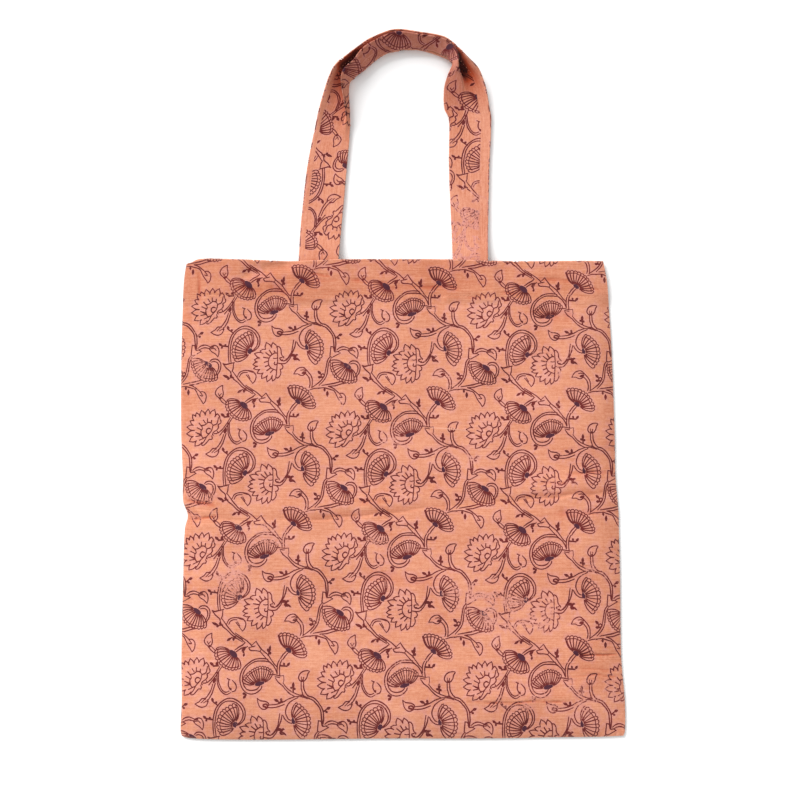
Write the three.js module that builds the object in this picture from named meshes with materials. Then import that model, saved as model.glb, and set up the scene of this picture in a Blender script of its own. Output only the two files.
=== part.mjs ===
// A block-printed cotton shopping bag lying flat on its back, with its two
// handles laid out above the mouth, one on top of the other.
//
// Units are millimetres and +Z is up. The bag is drawn in its own plan first:
// x runs to the right, y runs from the bottom seam (0) up to the mouth and on
// along the handles. The finished group is then centred on its bounding box.

import * as THREE from 'three';
import { mergeVertices } from 'three/addons/utils/BufferGeometryUtils.js';

// ---------------------------------------------------------------- sizes (mm)

const BAG_HEIGHT = 420;      // bottom seam to mouth
const CLOTH = 1.0;           // one thickness of panel cloth with its seam allowance
const HEM_DEPTH = 33;        // turned hem at the mouth
const HEM_CLOTH = 2.0;       // the hem is the cloth turned double
const GAP = 0.3;             // air between pieces that touch
const LOFT = 6.0;            // air inside the empty bag, away from the seams
const HEM_LOFT = 5.0;        // air inside the mouth
const SEAM_RUN = 30;         // the front rises from a seam to its full loft over this
const SEAM_POWER = 3;        // how round that rise is

const STRAP_WIDTH = 35.5;    // finished handle width
const STRAP_CLOTH = 1.6;     // folded handle, four thin layers
const STRAP_RELIEF = 0.8;    // the sewn handle ends show through the hem
const RELIEF_EDGE = 7;       // soft border of that relief

const CREASE_RISE = 1.8;     // old storage fold across the middle of the front
const CREASE_ABOVE = 20;     // its long slope, towards the mouth
const CREASE_BELOW = 7;      // its short slope, towards the bottom

// -------------------------------------------------------------------- tables

// Side seams: x of the left and right edge at each height.
const SIDE_ROWS = [
  { y: 0, left: -187.0, right: 191.0 },
  { y: 5, left: -189.2, right: 193.5 },
  { y: 30, left: -189.1, right: 194.2 },
  { y: 68, left: -190.3, right: 192.1 },
  { y: 140, left: -190.1, right: 191.9 },
  { y: 180, left: -189.4, right: 191.8 },
  { y: 191, left: -186.6, right: 191.9 },
  { y: 203, left: -190.2, right: 191.2 },
  { y: 225, left: -191.9, right: 190.1 },
  { y: 265, left: -194.4, right: 189.9 },
  { y: 340, left: -195.6, right: 187.8 },
  { y: 400, left: -194.3, right: 185.2 },
  { y: 416, left: -192.9, right: 183.3 },
  { y: 422, left: -191.0, right: 182.8 },
];

// Bottom seam and mouth edge: y at each x.
const EDGE_ROWS = [
  { x: -192, bottom: 2.5, mouth: 418.5 },
  { x: -180, bottom: 0.4, mouth: 422.3 },
  { x: -148, bottom: 0.0, mouth: 421.6 },
  { x: -96, bottom: 0.6, mouth: 419.6 },
  { x: 0, bottom: 0.8, mouth: 419.8 },
  { x: 100, bottom: 0.3, mouth: 420.0 },
  { x: 178, bottom: 0.0, mouth: 420.6 },
  { x: 190, bottom: 2.0, mouth: 420.0 },
];

// The storage fold: y of its foot at each x.
const CREASE_ROWS = [
  { x: -195, foot: 188.4 },
  { x: -61, foot: 188.4 },
  { x: 44, foot: 199.8 },
  { x: 195, foot: 212.5 },
];

// Other soft folds of the front: a ridge (or, with a negative rise, a dent)
// along a straight line, with its half-width.
const FOLD_ROWS = [
  { name: 'pull at the left mouth corner', x0: -124, y0: 402, x1: -92, y1: 415, rise: 0.9, reach: 9 },
  { name: 'dent beside that pull', x0: -150, y0: 384, x1: -112, y1: 392, rise: -0.6, reach: 12 },
  { name: 'wave under the hem', x0: -60, y0: 372, x1: 60, y1: 374, rise: 0.6, reach: 10 },
  { name: 'old wrinkle low on the right', x0: 62, y0: 32, x1: 136, y1: 30, rise: 0.6, reach: 8 },
  { name: 'pinch low at the right seam', x0: 168, y0: 84, x1: 168, y1: 68, rise: 0.7, reach: 9 },
];

// Front handle, section by section from the left sewn end to the right one.
// ox, oy and ix, iy are the outer and inner edge in plan. The band buckles
// round the top bend: crest is where the raised pleat stands between the two
// edges (0 outer, 1 inner), under how far the pleat's foot lies inward of it
// (negative where the band is flat), base the height of the band, lift the
// height of the crest above it and tip that of the inner edge.
const FRONT_HANDLE_ROWS = [
  { ox: -93.5, oy: 388, ix: -57.8, iy: 388, crest: 0.80, under: -9, base: 6.8, lift: 0, tip: 0 },
  { ox: -91.1, oy: 421, ix: -55.2, iy: 421, crest: 0.80, under: -9, base: 6.8, lift: 0, tip: 0 },
  { ox: -88.8, oy: 452, ix: -52.7, iy: 452, crest: 0.80, under: -9, base: 3.3, lift: 0, tip: 0 },
  { ox: -84.6, oy: 506, ix: -48.1, iy: 508, crest: 0.82, under: -9, base: 2.7, lift: 0, tip: 0 },
  { ox: -78.4, oy: 540, ix: -45.8, iy: 539, crest: 0.88, under: -7, base: 3.2, lift: 0.6, tip: 0 },
  { ox: -73.2, oy: 565, ix: -45.8, iy: 557, crest: 0.88, under: -2, base: 4.9, lift: 3, tip: 0.5 },
  { ox: -66.0, oy: 590, ix: -46.5, iy: 585, crest: 0.63, under: 4, base: 4.9, lift: 8, tip: 2 },
  { ox: -59.5, oy: 603, ix: -40.0, iy: 591.5, crest: 0.41, under: 3, base: 4.9, lift: 7, tip: 1 },
  { ox: -48.5, oy: 612.5, ix: -32.5, iy: 597, crest: 0.36, under: 3, base: 4.9, lift: 7, tip: 1 },
  { ox: -36.6, oy: 620.5, ix: -26.0, iy: 604.5, crest: 0.22, under: 5, base: 4.9, lift: 8, tip: 1 },
  { ox: -24.5, oy: 627.5, ix: -16.0, iy: 611.5, crest: 0.20, under: 5, base: 4.9, lift: 8, tip: 1 },
  { ox: -4.5, oy: 637, ix: -1.0, iy: 616.5, crest: 0.15, under: 4, base: 4.9, lift: 8, tip: 1 },
  { ox: 18.4, oy: 633.5, ix: 18.4, iy: 617, crest: 0.15, under: 5, base: 4.9, lift: 9, tip: 1 },
  { ox: 37.4, oy: 630, ix: 32.1, iy: 614.7, crest: 0.14, under: 6, base: 4.9, lift: 9, tip: 1 },
  { ox: 46.5, oy: 627, ix: 41.0, iy: 609.5, crest: 0.14, under: 5, base: 4.9, lift: 9, tip: 1.5 },
  { ox: 55.5, oy: 618, ix: 46.3, iy: 605, crest: 0.30, under: 6, base: 5.3, lift: 9, tip: 3 },
  { ox: 62.5, oy: 609.9, ix: 48.2, iy: 602, crest: 0.64, under: 4, base: 5.5, lift: 9, tip: 5 },
  { ox: 69.8, oy: 601.5, ix: 46.6, iy: 598, crest: 0.70, under: 4, base: 5.5, lift: 7, tip: 4 },
  { ox: 74.3, oy: 595, ix: 43.2, iy: 591.5, crest: 0.60, under: -3, base: 5.2, lift: 4, tip: 2 },
  { ox: 78.4, oy: 581, ix: 40.1, iy: 579, crest: 0.55, under: -7, base: 4.4, lift: 1.5, tip: 0.6 },
  { ox: 81.2, oy: 562, ix: 40.2, iy: 562, crest: 0.60, under: -9, base: 3.4, lift: 0.3, tip: 0.3 },
  { ox: 82.8, oy: 549, ix: 44.8, iy: 549, crest: 0.70, under: -9, base: 3.0, lift: 0, tip: 0 },
  { ox: 81.6, oy: 508, ix: 44.4, iy: 508, crest: 0.75, under: -9, base: 2.7, lift: 0, tip: 0 },
  { ox: 79.8, oy: 452, ix: 46.4, iy: 452, crest: 0.75, under: -9, base: 3.3, lift: 0, tip: 0 },
  { ox: 79.2, oy: 421, ix: 47.4, iy: 421, crest: 0.75, under: -9, base: 6.8, lift: 0, tip: 0 },
  { ox: 78.4, oy: 388, ix: 48.6, iy: 388, crest: 0.75, under: -9, base: 6.8, lift: 0, tip: 0 },
];

// Back handle, lying under the front one. Where its two plan edges stand
// closer than the strap is wide, the inner part is turned over on top of the
// rest. base is the height of the middle of the lower layer.
const BACK_HANDLE_ROWS = [
  { ox: -93.0, oy: 388, ix: -58.2, iy: 388, base: 3.1 },
  { ox: -90.7, oy: 422, ix: -55.8, iy: 422, base: 3.1 },
  { ox: -89.4, oy: 440, ix: -54.2, iy: 440, base: 1.2 },
  { ox: -84.2, oy: 506, ix: -48.8, iy: 508, base: 0.8 },
  { ox: -78.0, oy: 540, ix: -46.9, iy: 539, base: 0.8 },
  { ox: -72.8, oy: 565, ix: -47.2, iy: 557, base: 0.8 },
  { ox: -65.6, oy: 590, ix: -47.2, iy: 584, base: 0.8 },
  { ox: -59.6, oy: 604, ix: -42.0, iy: 592, base: 0.8 },
  { ox: -48.6, oy: 613.6, ix: -34.0, iy: 598.5, base: 0.8 },
  { ox: -24.9, oy: 629, ix: -16.8, iy: 613, base: 0.8 },
  { ox: -4.6, oy: 638.6, ix: -1.0, iy: 618, base: 0.8 },
  { ox: 18.4, oy: 635, ix: 18.0, iy: 618.5, base: 0.8 },
  { ox: 46.9, oy: 628.2, ix: 41.0, iy: 611.2, base: 0.8 },
  { ox: 62.3, oy: 610, ix: 49.4, iy: 603.5, base: 0.8 },
  { ox: 69.4, oy: 601.5, ix: 49.0, iy: 598, base: 0.8 },
  { ox: 77.8, oy: 581, ix: 45.6, iy: 579, base: 0.8 },
  { ox: 82.0, oy: 549, ix: 46.4, iy: 549, base: 0.8 },
  { ox: 81.0, oy: 508, ix: 45.6, iy: 508, base: 0.8 },
  { ox: 79.3, oy: 440, ix: 47.6, iy: 440, base: 1.2 },
  { ox: 78.9, oy: 422, ix: 48.0, iy: 422, base: 3.1 },
  { ox: 78.0, oy: 388, ix: 49.2, iy: 388, base: 3.1 },
];
const TURNED_LAYER = 2.1;    // height of the turned-over layer above the lower one
const SMALL_TURN = 4;        // a narrowing below this is only slack in the strap

// Grid lines of the panels: shares of the width, and heights above the bottom.
const FRONT_COLUMNS = [0, 0.008, 0.021, 0.04, 0.078, 0.14, 0.2, 0.255, 0.275, 0.32, 0.365, 0.385,
  0.44, 0.5, 0.56, 0.62, 0.64, 0.68, 0.725, 0.745, 0.8, 0.86, 0.922, 0.96, 0.979, 0.992, 1];
const FRONT_HEIGHTS = [0, 3, 8, 16, 31, 60, 100, 140, 170, 180, 188, 196, 204, 212, 222, 236,
  270, 310, 350, 372, 385, 388, 398, 408, 416, 420];
const BACK_COLUMNS = [0, 0.03, 0.12, 0.25, 0.5, 0.75, 0.88, 0.97, 1];
const BACK_HEIGHTS = [0, 6, 30, 70, 140, 180, 191, 203, 225, 265, 340, 385, 388, 402, 416, 420];
const STRAP_STEPS = 56;      // sections along a handle
const STRAP_COLUMNS = 8;     // facets across a handle

// ----------------------------------------------------------------- functions

// Smooth curve through the rows of a table, read at key = at.
function read(rows, key, column, at) {
  const last = rows.length - 1;
  if (at <= rows[0][key]) return rows[0][column];
  if (at >= rows[last][key]) return rows[last][column];
  let i = 0;
  while (at > rows[i + 1][key]) i += 1;
  const slope = (a, b) => (rows[b][column] - rows[a][column]) / (rows[b][key] - rows[a][key]);
  const start = i > 0 ? slope(i - 1, i + 1) : slope(i, i + 1);
  const end = i + 1 < last ? slope(i, i + 2) : slope(i, i + 1);
  const span = rows[i + 1][key] - rows[i][key];
  const t = (at - rows[i][key]) / span;
  const t2 = t * t;
  const t3 = t2 * t;
  return (2 * t3 - 3 * t2 + 1) * rows[i][column] + (t3 - 2 * t2 + t) * span * start
    + (3 * t2 - 2 * t3) * rows[i + 1][column] + (t3 - t2) * span * end;
}

const leftSeam = (y) => read(SIDE_ROWS, 'y', 'left', y);
const rightSeam = (y) => read(SIDE_ROWS, 'y', 'right', y);
const bottomSeam = (x) => read(EDGE_ROWS, 'x', 'bottom', x);
const mouthEdge = (x) => read(EDGE_ROWS, 'x', 'mouth', x);
const smooth = (t) => THREE.MathUtils.smoothstep(t, 0, 1);
const rise = (d) => 1 - Math.pow(1 - THREE.MathUtils.clamp(d / SEAM_RUN, 0, 1), SEAM_POWER);

// Plan position of a point of a panel: share of the width, height above the bottom.
function plan(share, height) {
  const middle = THREE.MathUtils.lerp(leftSeam(height), rightSeam(height), share);
  const low = bottomSeam(middle);
  const y = low + (height / BAG_HEIGHT) * (mouthEdge(middle) - low);
  const left = leftSeam(y);
  return { x: left + share * (rightSeam(y) - left), y };
}

// How far into the hem a height lies: 0 on the body, 1 in the hem.
const hem = (height) => smooth((height - (BAG_HEIGHT - HEM_DEPTH - 2)) / 3);
const panelCloth = (height) => THREE.MathUtils.lerp(CLOTH, HEM_CLOTH, hem(height));

// Rise and fall of the storage fold.
function creaseRise(x, y) {
  const above = y - read(CREASE_ROWS, 'x', 'foot', x) - CREASE_BELOW;
  return CREASE_RISE * smooth(1 - (above > 0 ? above / CREASE_ABOVE : -above / CREASE_BELOW));
}

// Rise of one straight soft fold.
function foldRise(row, x, y) {
  const dx = row.x1 - row.x0;
  const dy = row.y1 - row.y0;
  const along = THREE.MathUtils.clamp(((x - row.x0) * dx + (y - row.y0) * dy) / (dx * dx + dy * dy), 0, 1);
  const away = Math.hypot(x - row.x0 - along * dx, y - row.y0 - along * dy);
  return row.rise * smooth(1 - away / row.reach);
}

// The sewn handle ends push the hem up a little.
function strapRelief(x, height) {
  const ends = [FRONT_HANDLE_ROWS[1], FRONT_HANDLE_ROWS[FRONT_HANDLE_ROWS.length - 2]];
  const inside = ends.map((end) => {
    const low = Math.min(end.ox, end.ix) - 4;
    const high = Math.max(end.ox, end.ix) + 4;
    return smooth(1 - Math.max(low - x, x - high, 0) / RELIEF_EDGE);
  });
  return STRAP_RELIEF * Math.max(...inside) * smooth((height - (BAG_HEIGHT - HEM_DEPTH - 8)) / 6);
}

// Free height inside the bag under a point of the front.
function hollow(x, y, height) {
  const seams = rise(x - leftSeam(y)) * rise(rightSeam(y) - x) * rise(height);
  const folds = FOLD_ROWS.reduce((sum, row) => sum + foldRise(row, x, y), creaseRise(x, y));
  const loft = THREE.MathUtils.lerp(LOFT, HEM_LOFT, hem(height));
  return seams * (loft + folds + strapRelief(x, height));
}

// A closed sheet of cloth on a grid of columns and rows. placeTop and
// placeUnder give the two faces of the cloth at a grid point.
function sheetGeometry(columns, rows, placeTop, placeUnder) {
  const box = new THREE.BoxGeometry(columns, rows, 1, columns, rows, 1);
  box.deleteAttribute('normal');
  box.deleteAttribute('uv');
  const sheet = mergeVertices(box, 1e-4);
  const position = sheet.getAttribute('position');
  for (let i = 0; i < position.count; i += 1) {
    const column = Math.round(position.getX(i) + columns / 2);
    const row = Math.round(position.getY(i) + rows / 2);
    const place = position.getZ(i) > 0 ? placeTop : placeUnder;
    position.setXYZ(i, ...place(column, row));
  }
  sheet.computeVertexNormals();
  return sheet;
}

function panelGeometry(columns, heights, topHeight, underHeight) {
  const place = (heightOf) => (column, row) => {
    const { x, y } = plan(columns[column], heights[row]);
    return [x, y, heightOf(x, y, heights[row])];
  };
  return sheetGeometry(columns.length - 1, heights.length - 1, place(topHeight), place(underHeight));
}

// One section of the front handle: outer edge, foot and crest of the pleat, inner edge.
function frontHandleSection(row) {
  const across = new THREE.Vector3(row.ix - row.ox, row.iy - row.oy, 0);
  const outer = new THREE.Vector3(row.ox, row.oy, row.base);
  const crest = outer.clone().addScaledVector(across, row.crest);
  crest.z += row.lift;
  const foot = outer.clone().addScaledVector(across, row.crest);
  foot.addScaledVector(across.clone().normalize(), row.under);
  const flat = Math.max(0, -row.under) / STRAP_WIDTH;
  foot.z += row.lift * flat * 2;
  const inner = new THREE.Vector3(row.ix, row.iy, row.base + row.tip);
  return [outer, foot, crest, inner];
}

// One section of the back handle: outer edge, the two sides of its turn, inner edge.
function backHandleSection(row) {
  const across = new THREE.Vector3(row.ix - row.ox, row.iy - row.oy, 0);
  const width = across.length();
  across.normalize();
  const turned = Math.max(0, STRAP_WIDTH - width - SMALL_TURN);
  const step = TURNED_LAYER * Math.min(1, turned / SMALL_TURN);
  const outer = new THREE.Vector3(row.ox, row.oy, row.base);
  const lower = outer.clone().addScaledVector(across, turned > 0 ? width : width * 0.6);
  const upper = turned > 0 ? lower.clone() : outer.clone().addScaledVector(across, width * 0.8);
  upper.z += step;
  const inner = turned > 0
    ? upper.clone().addScaledVector(across, -turned)
    : outer.clone().addScaledVector(across, width);
  return [outer, lower, upper, inner];
}

// A closed band through sections of four points each.
function bandGeometry(sections) {
  const spline = (points) => new THREE.CatmullRomCurve3(points, false, 'catmullrom', 0.5);
  const lines = [0, 1, 2, 3].map((k) => spline(sections.map((section) => section[k])));
  const at = (along, across) => {
    const t = THREE.MathUtils.clamp(along, 0, 1);
    const [outer, foot, crest, inner] = lines.map((line) => line.getPoint(t));
    const between = (a, b) => a.clone().lerp(b, 0.5);
    const section = spline([outer, between(outer, foot), foot, between(foot, crest), crest,
      between(crest, inner), inner]);
    const point = section.getPoint(THREE.MathUtils.clamp(across, 0, 1));
    point.z = Math.max(point.z, STRAP_CLOTH / 2);
    return point;
  };
  const step = 1e-3;
  const face = (side) => (column, row) => {
    const across = column / STRAP_COLUMNS;
    const along = row / STRAP_STEPS;
    const alongWay = at(along + step, across).sub(at(along - step, across));
    const acrossWay = at(along, across + step).sub(at(along, across - step));
    const normal = acrossWay.cross(alongWay).normalize();
    const point = at(along, across).addScaledVector(normal, (side * STRAP_CLOTH) / 2);
    point.z = Math.max(point.z, 0);
    return point.toArray();
  };
  return sheetGeometry(STRAP_COLUMNS, STRAP_STEPS, face(1), face(-1));
}

// ------------------------------------------------------------------- pieces

const CLOTH_LOOK = { roughness: 0.92, metalness: 0 };

function piece(name, geometry, color) {
  const mesh = new THREE.Mesh(geometry, new THREE.MeshStandardMaterial({ color, ...CLOTH_LOOK }));
  mesh.name = name;
  return mesh;
}

const backTop = (x, y, height) => panelCloth(height);
const frontUnder = (x, y, height) => panelCloth(height) + GAP + hollow(x, y, height);
const frontTop = (x, y, height) => frontUnder(x, y, height) + panelCloth(height);

const bag = new THREE.Group();
bag.add(
  piece('back_panel', panelGeometry(BACK_COLUMNS, BACK_HEIGHTS, backTop, () => 0), 0xd9906f),
  piece('front_panel', panelGeometry(FRONT_COLUMNS, FRONT_HEIGHTS, frontTop, frontUnder), 0xe39a78),
  piece('back_handle', bandGeometry(BACK_HANDLE_ROWS.map(backHandleSection)), 0xd48a69),
  piece('front_handle', bandGeometry(FRONT_HANDLE_ROWS.map(frontHandleSection)), 0xe09674),
);

// Centre the bag on its box, with its back on the ground.
const box = new THREE.Box3().setFromObject(bag, true);
const middle = box.getCenter(new THREE.Vector3());
bag.position.set(-middle.x, -middle.y, -box.min.z);

export default bag;
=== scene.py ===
# A block-printed cotton shopping bag, lying flat on its back with both handles
# laid out above the mouth. Lengths are in millimetres in the bag's own plan
# (x to the right, y from the bottom seam up) until a mesh is made.

import math

import bpy
import numpy as np
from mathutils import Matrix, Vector
from mathutils.geometry import delaunay_2d_cdt


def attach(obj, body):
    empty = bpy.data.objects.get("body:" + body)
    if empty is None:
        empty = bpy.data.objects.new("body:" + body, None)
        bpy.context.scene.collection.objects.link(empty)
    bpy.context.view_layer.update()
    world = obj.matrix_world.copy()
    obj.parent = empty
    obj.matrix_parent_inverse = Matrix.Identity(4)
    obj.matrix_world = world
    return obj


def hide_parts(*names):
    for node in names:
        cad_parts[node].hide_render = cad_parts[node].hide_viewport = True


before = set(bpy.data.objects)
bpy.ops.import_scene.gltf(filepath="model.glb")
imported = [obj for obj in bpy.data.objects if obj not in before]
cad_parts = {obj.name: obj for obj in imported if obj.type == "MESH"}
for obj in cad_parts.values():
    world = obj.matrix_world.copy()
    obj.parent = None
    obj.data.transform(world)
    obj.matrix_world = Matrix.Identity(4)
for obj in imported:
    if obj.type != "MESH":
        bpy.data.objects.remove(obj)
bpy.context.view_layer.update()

# ---------------------------------------------------------------- sizes (mm)

PLAN_SHIFT = (0.66962, -319.21425)   # plan of the bag to the part's own frame
BAG_HEIGHT = 420.0
CLOTH = 1.0            # height that one thickness of cloth takes up in a seam
HEM_CLOTH = 2.0        # the hem is turned double
GAP = 0.3
LOFT = 6.0             # air in the empty bag
HEM_LOFT = 4.3
SEAM_RUN = 56.0
THREAD_SHEET = 0.7     # thickness of the cloth itself
HEM_DEPTH = 33.0
HEM_TURN = 1.0         # radius of the fold at the mouth
STRAP_WIDTH = 35.5
STRAP_THICK = 1.5
STRAP_RELIEF = 0.8
RELIEF_EDGE = 7.0
CREASE_RISE = 1.45
CREASE_ABOVE = 20.0
CREASE_BELOW = 7.0
TURNED_LAYER = 2.4
SMALL_TURN = 4.0
SEED = 20

# -------------------------------------------------------------------- tables

# Side seams: height, x of the left and of the right edge.
SIDE_ROWS = [
    (0, -188.4, 192.9), (5, -189.8, 194.6), (30, -189.3, 195.0), (68, -190.3, 192.6),
    (140, -190.1, 193.0), (180, -189.4, 192.8), (191, -187.0, 192.9), (203, -191.4, 192.2),
    (225, -192.1, 190.7), (265, -194.4, 190.7), (340, -195.6, 189.3), (400, -194.3, 186.2),
    (416, -192.4, 183.6), (422, -190.6, 183.0),
]
# Bottom seam and mouth: x, y of the bottom and of the mouth.
EDGE_ROWS = [
    (-192, 1.2, 417.4), (-180, -1.2, 421.0), (-148, -2.2, 420.3), (-96, -2.2, 418.6), (-48, -1.7, 420.2),
    (0, -1.3, 420.5), (40, -1.4, 420.1), (84, -1.2, 418.7), (130, -0.4, 418.5), (178, 0.3, 419.4), (190, 1.0, 419.6),
]
# Old storage fold: x, y of its foot, and how much of it is left there.
CREASE_ROWS = [(-195, 188.4), (-61, 188.4), (44, 199.8), (195, 212.5)]
CREASE_LEFT = [
    (-195, 0.55), (-165, 0.30), (-120, 0.28), (-85, 0.55), (-50, 1.0), (-14, 0.75), (30, 0.42), (72, 0.30),
    (102, 0.55), (132, 1.0), (160, 0.85), (195, 0.8),
]
# Soft folds of the front: from, to, rise, half-width.
FOLD_ROWS = [
    (-136, 407, -94, 418, -1.6, 8), (-118, 398, -84, 410, 0.5, 9), (-60, 366, 60, 368, 0.3, 14),
    (62, 34, 142, 33, 0.5, 9), (150, 76, 186, 76, 0.5, 8),
]
# Finer wrinkles of the front: from, to, rise, half-width.
WRINKLE_ROWS = [
    (-92, 399, -52, 402, -0.24, 3.0), (-86, 391, -38, 394, 0.30, 4.0), (-98, 385, -66, 381, -0.20, 4.0),
    (40, 401, 84, 398, -0.24, 3.0), (52, 392, 96, 390, 0.30, 4.0), (44, 383, 78, 387, -0.20, 4.0),
    (-34, 393, 22, 396, -0.26, 4.2), (-18, 403, 30, 401, 0.26, 5.0), (-10, 384, 28, 381, -0.24, 4.0),
    (8, 396, 58, 394, -0.55, 2.6), (-48, 401, -6, 399, -0.50, 2.6), (86, 390, 120, 388, -0.50, 2.4),
    (-150, 396, -118, 391, -0.40, 3.2), (-84, 406, -60, 405, -0.40, 2.4), (118, 402, 156, 399, -0.40, 3.0),
    (-181, 412, -179, 378, -0.45, 2.4), (-176, 413, -172, 384, 0.30, 3.5),
    (162, 396, 182, 391, -0.45, 2.4), (146, 385, 178, 379, 0.30, 5.0),
    (54, 30.4, 110, 29.6, -0.50, 1.5), (96, 29.8, 150, 31.0, -0.42, 1.5), (146, 70.2, 193, 70.6, -0.55, 1.4),
    (152, 58.5, 190, 57.0, -0.34, 2.2), (150, 53.4, 191, 52.0, -0.36, 1.8), (128, 46, 176, 43, 0.25, 5.0),
    (-120, 398, -99, 386, -0.32, 5.0), (110, 372, 160, 366, -0.28, 7.0), (-168, 350, -120, 344, 0.26, 9.0),
    (-193, 206, -158, 199, -0.55, 2.4), (-192, 197, -160, 193.5, 0.45, 2.6), (-191, 187, -156, 190.5, -0.60, 2.2),
    (-190, 179, -150, 184, 0.35, 4.0), (128, 190, 186, 196, -0.30, 5.0), (118, 217, 150, 221, -0.30, 2.6),
    (138, 226, 190, 230, -0.32, 3.4), (-40, 202, -6, 204, -0.30, 3.0), (-24, 182, 28, 187, 0.25, 5.0),
    (100, 96, 170, 84, 0.30, 9.0), (-150, 92, -70, 100, 0.26, 9.0), (-40, 140, 40, 132, -0.26, 9.0),
    (20, 268, 66, 265, 0.28, 2.2), (-100, 300, -40, 306, 0.22, 10.0), (60, 330, 130, 322, 0.26, 10.0),
]
# Where the print came out pale: x, y, half-width, half-height, how pale (0 to 1).
PALE_ROWS = [
    (100, 102, 46, 24, 0.54), (-145, 140, 18, 28, 0.50), (168, 140, 18, 22, 0.42), (-60, 292, 22, 12, 0.35),
    (60, 246, 18, 10, 0.40), (-178, 330, 12, 44, 0.35), (126, 214, 34, 14, 0.36), (-122, 172, 28, 14, 0.36),
    (168, 40, 26, 24, 0.46), (0, 60, 24, 16, 0.32), (-20, 160, 18, 22, 0.34), (140, 300, 22, 32, 0.32),
    (62, 118, 26, 20, 0.45), (-176, 196, 16, 16, 0.52), (112, 28, 40, 8, 0.36), (30, 330, 20, 18, 0.26),
    (-110, 236, 16, 14, 0.28), (-8, 250, 14, 20, 0.28), (-104, 40, 20, 16, 0.24),
]
# Lines that a wrinkle kept bare during printing: points, width.
BARE_ROWS = [
    ([(24, 268.0), (34, 267.6), (46, 266.8), (60, 265.2)], 0.9),
    ([(86, 244.5), (101, 243.8)], 0.8), ([(-33, 196.2), (-24, 195.8)], 0.7),
]

# Front handle: outer edge, inner edge, crest, under, base, lift, tip.
FRONT_HANDLE_ROWS = [
    (-93.5, 388, -57.8, 388, 0.80, -9, 6.0, 0, 0), (-91.1, 421, -55.2, 421, 0.80, -9, 6.0, 0, 0),
    (-89.9, 452, -52.7, 452, 0.80, -9, 3.3, 0, 0), (-84.6, 506, -48.1, 508, 0.82, -9, 2.7, 0, 0),
    (-78.4, 540, -45.8, 539, 0.88, -7, 3.2, 0.6, 0), (-73.2, 565, -45.8, 557, 0.88, 1, 4.9, 5, 0.8),
    (-66.0, 590, -46.5, 585, 0.63, 5.5, 4.9, 12, 2), (-59.7, 603.4, -40.0, 591.5, 0.41, 8, 4.9, 12, 1),
    (-48.7, 613.1, -32.5, 597, 0.36, 7, 4.9, 11.5, 1), (-37.3, 621.8, -26.0, 604.5, 0.22, 6, 4.9, 11, 1),
    (-25.8, 629.4, -16.0, 611.5, 0.20, 5, 4.9, 11, 1), (-4.5, 637, -1.0, 616.5, 0.15, 5, 4.9, 11, 1),
    (18.4, 634.4, 18.4, 617, 0.15, 5, 4.9, 11.5, 1), (37.6, 631.0, 32.1, 614.7, 0.14, 6, 4.9, 12, 1),
    (46.3, 626.6, 41.0, 609.5, 0.14, 7, 4.9, 13, 1.5), (55.6, 618.0, 46.3, 605, 0.30, 8, 5.3, 14, 3),
    (62.6, 610.0, 48.2, 602, 0.64, 4.3, 5.5, 13.5, 5), (70.6, 602.0, 46.6, 598, 0.70, 5, 5.5, 11, 4),
    (74.3, 595, 43.2, 591.5, 0.60, 0, 5.2, 6.5, 2), (79.0, 581, 40.1, 579, 0.55, -6, 4.4, 2.6, 0.6),
    (82.1, 562, 40.2, 562, 0.60, -9, 3.4, 0.3, 0.3), (83.5, 549, 44.8, 549, 0.70, -9, 3.0, 0, 0),
    (81.6, 508, 44.4, 508, 0.75, -9, 2.7, 0, 0), (79.8, 452, 46.4, 452, 0.75, -9, 3.3, 0, 0),
    (79.2, 421, 47.4, 421, 0.75, -9, 6.0, 0, 0), (78.4, 388, 48.6, 388, 0.75, -9, 6.0, 0, 0),
]
# How far the outer edge stands up where the front handle buckles, row by row.
FRONT_RIM_LIFTS = [
    0, 0, 0, 0, 1.2, 5.2, 10.0, 10.8, 9.6, 7.4, 5.8, 4.6, 4.4, 5.4, 7.2, 9.4, 10.0, 8.6, 5.8, 2.6, 0.8, 0, 0, 0, 0, 0,
]
# How much painted shade its buckle gets, row by row, where it is hidden from light.
FRONT_POCKET_SHADES = [
    0, 0, 0, 0, 0.10, 0.28, 0.60, 1.0, 1.0, 0.95, 0.80, 0.70, 0.65, 0.75, 0.95, 1.0, 1.0, 1.0, 0.90, 0.35,
    0.05, 0, 0, 0, 0, 0,
]
# Painted shadow in the inmost part of its two pockets: x, y to x, y, depth, half-width.
POCKET_SHADOW_ROWS = [
    (50.5, 619.0, 53.5, 610.0, 0.70, 4.5), (54.0, 608.5, 57.5, 597.5, 1.05, 8.0), (57.5, 597.5, 60.0, 589.5, 0.40, 5.0),
    (-53.5, 601.5, -41.0, 611.5, 1.45, 8.5), (-41.0, 611.5, -33.0, 617.0, 0.60, 5.0),
]
# How much painted shade dulls the raised part of the front handle, along its length.
FRONT_SHADES = [
    0, 0, 0, 0, 0.3, 0.9, 1.5, 1.7, 1.8, 1.9, 2.0, 2.0, 2.0, 2.0, 1.9, 1.8, 1.8, 1.9, 1.9, 1.8,
    1.3, 0.6, 0, 0, 0, 0,
]
EYE = (0.0, 147.4, 1191.0)     # where the bag is looked at from
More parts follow.
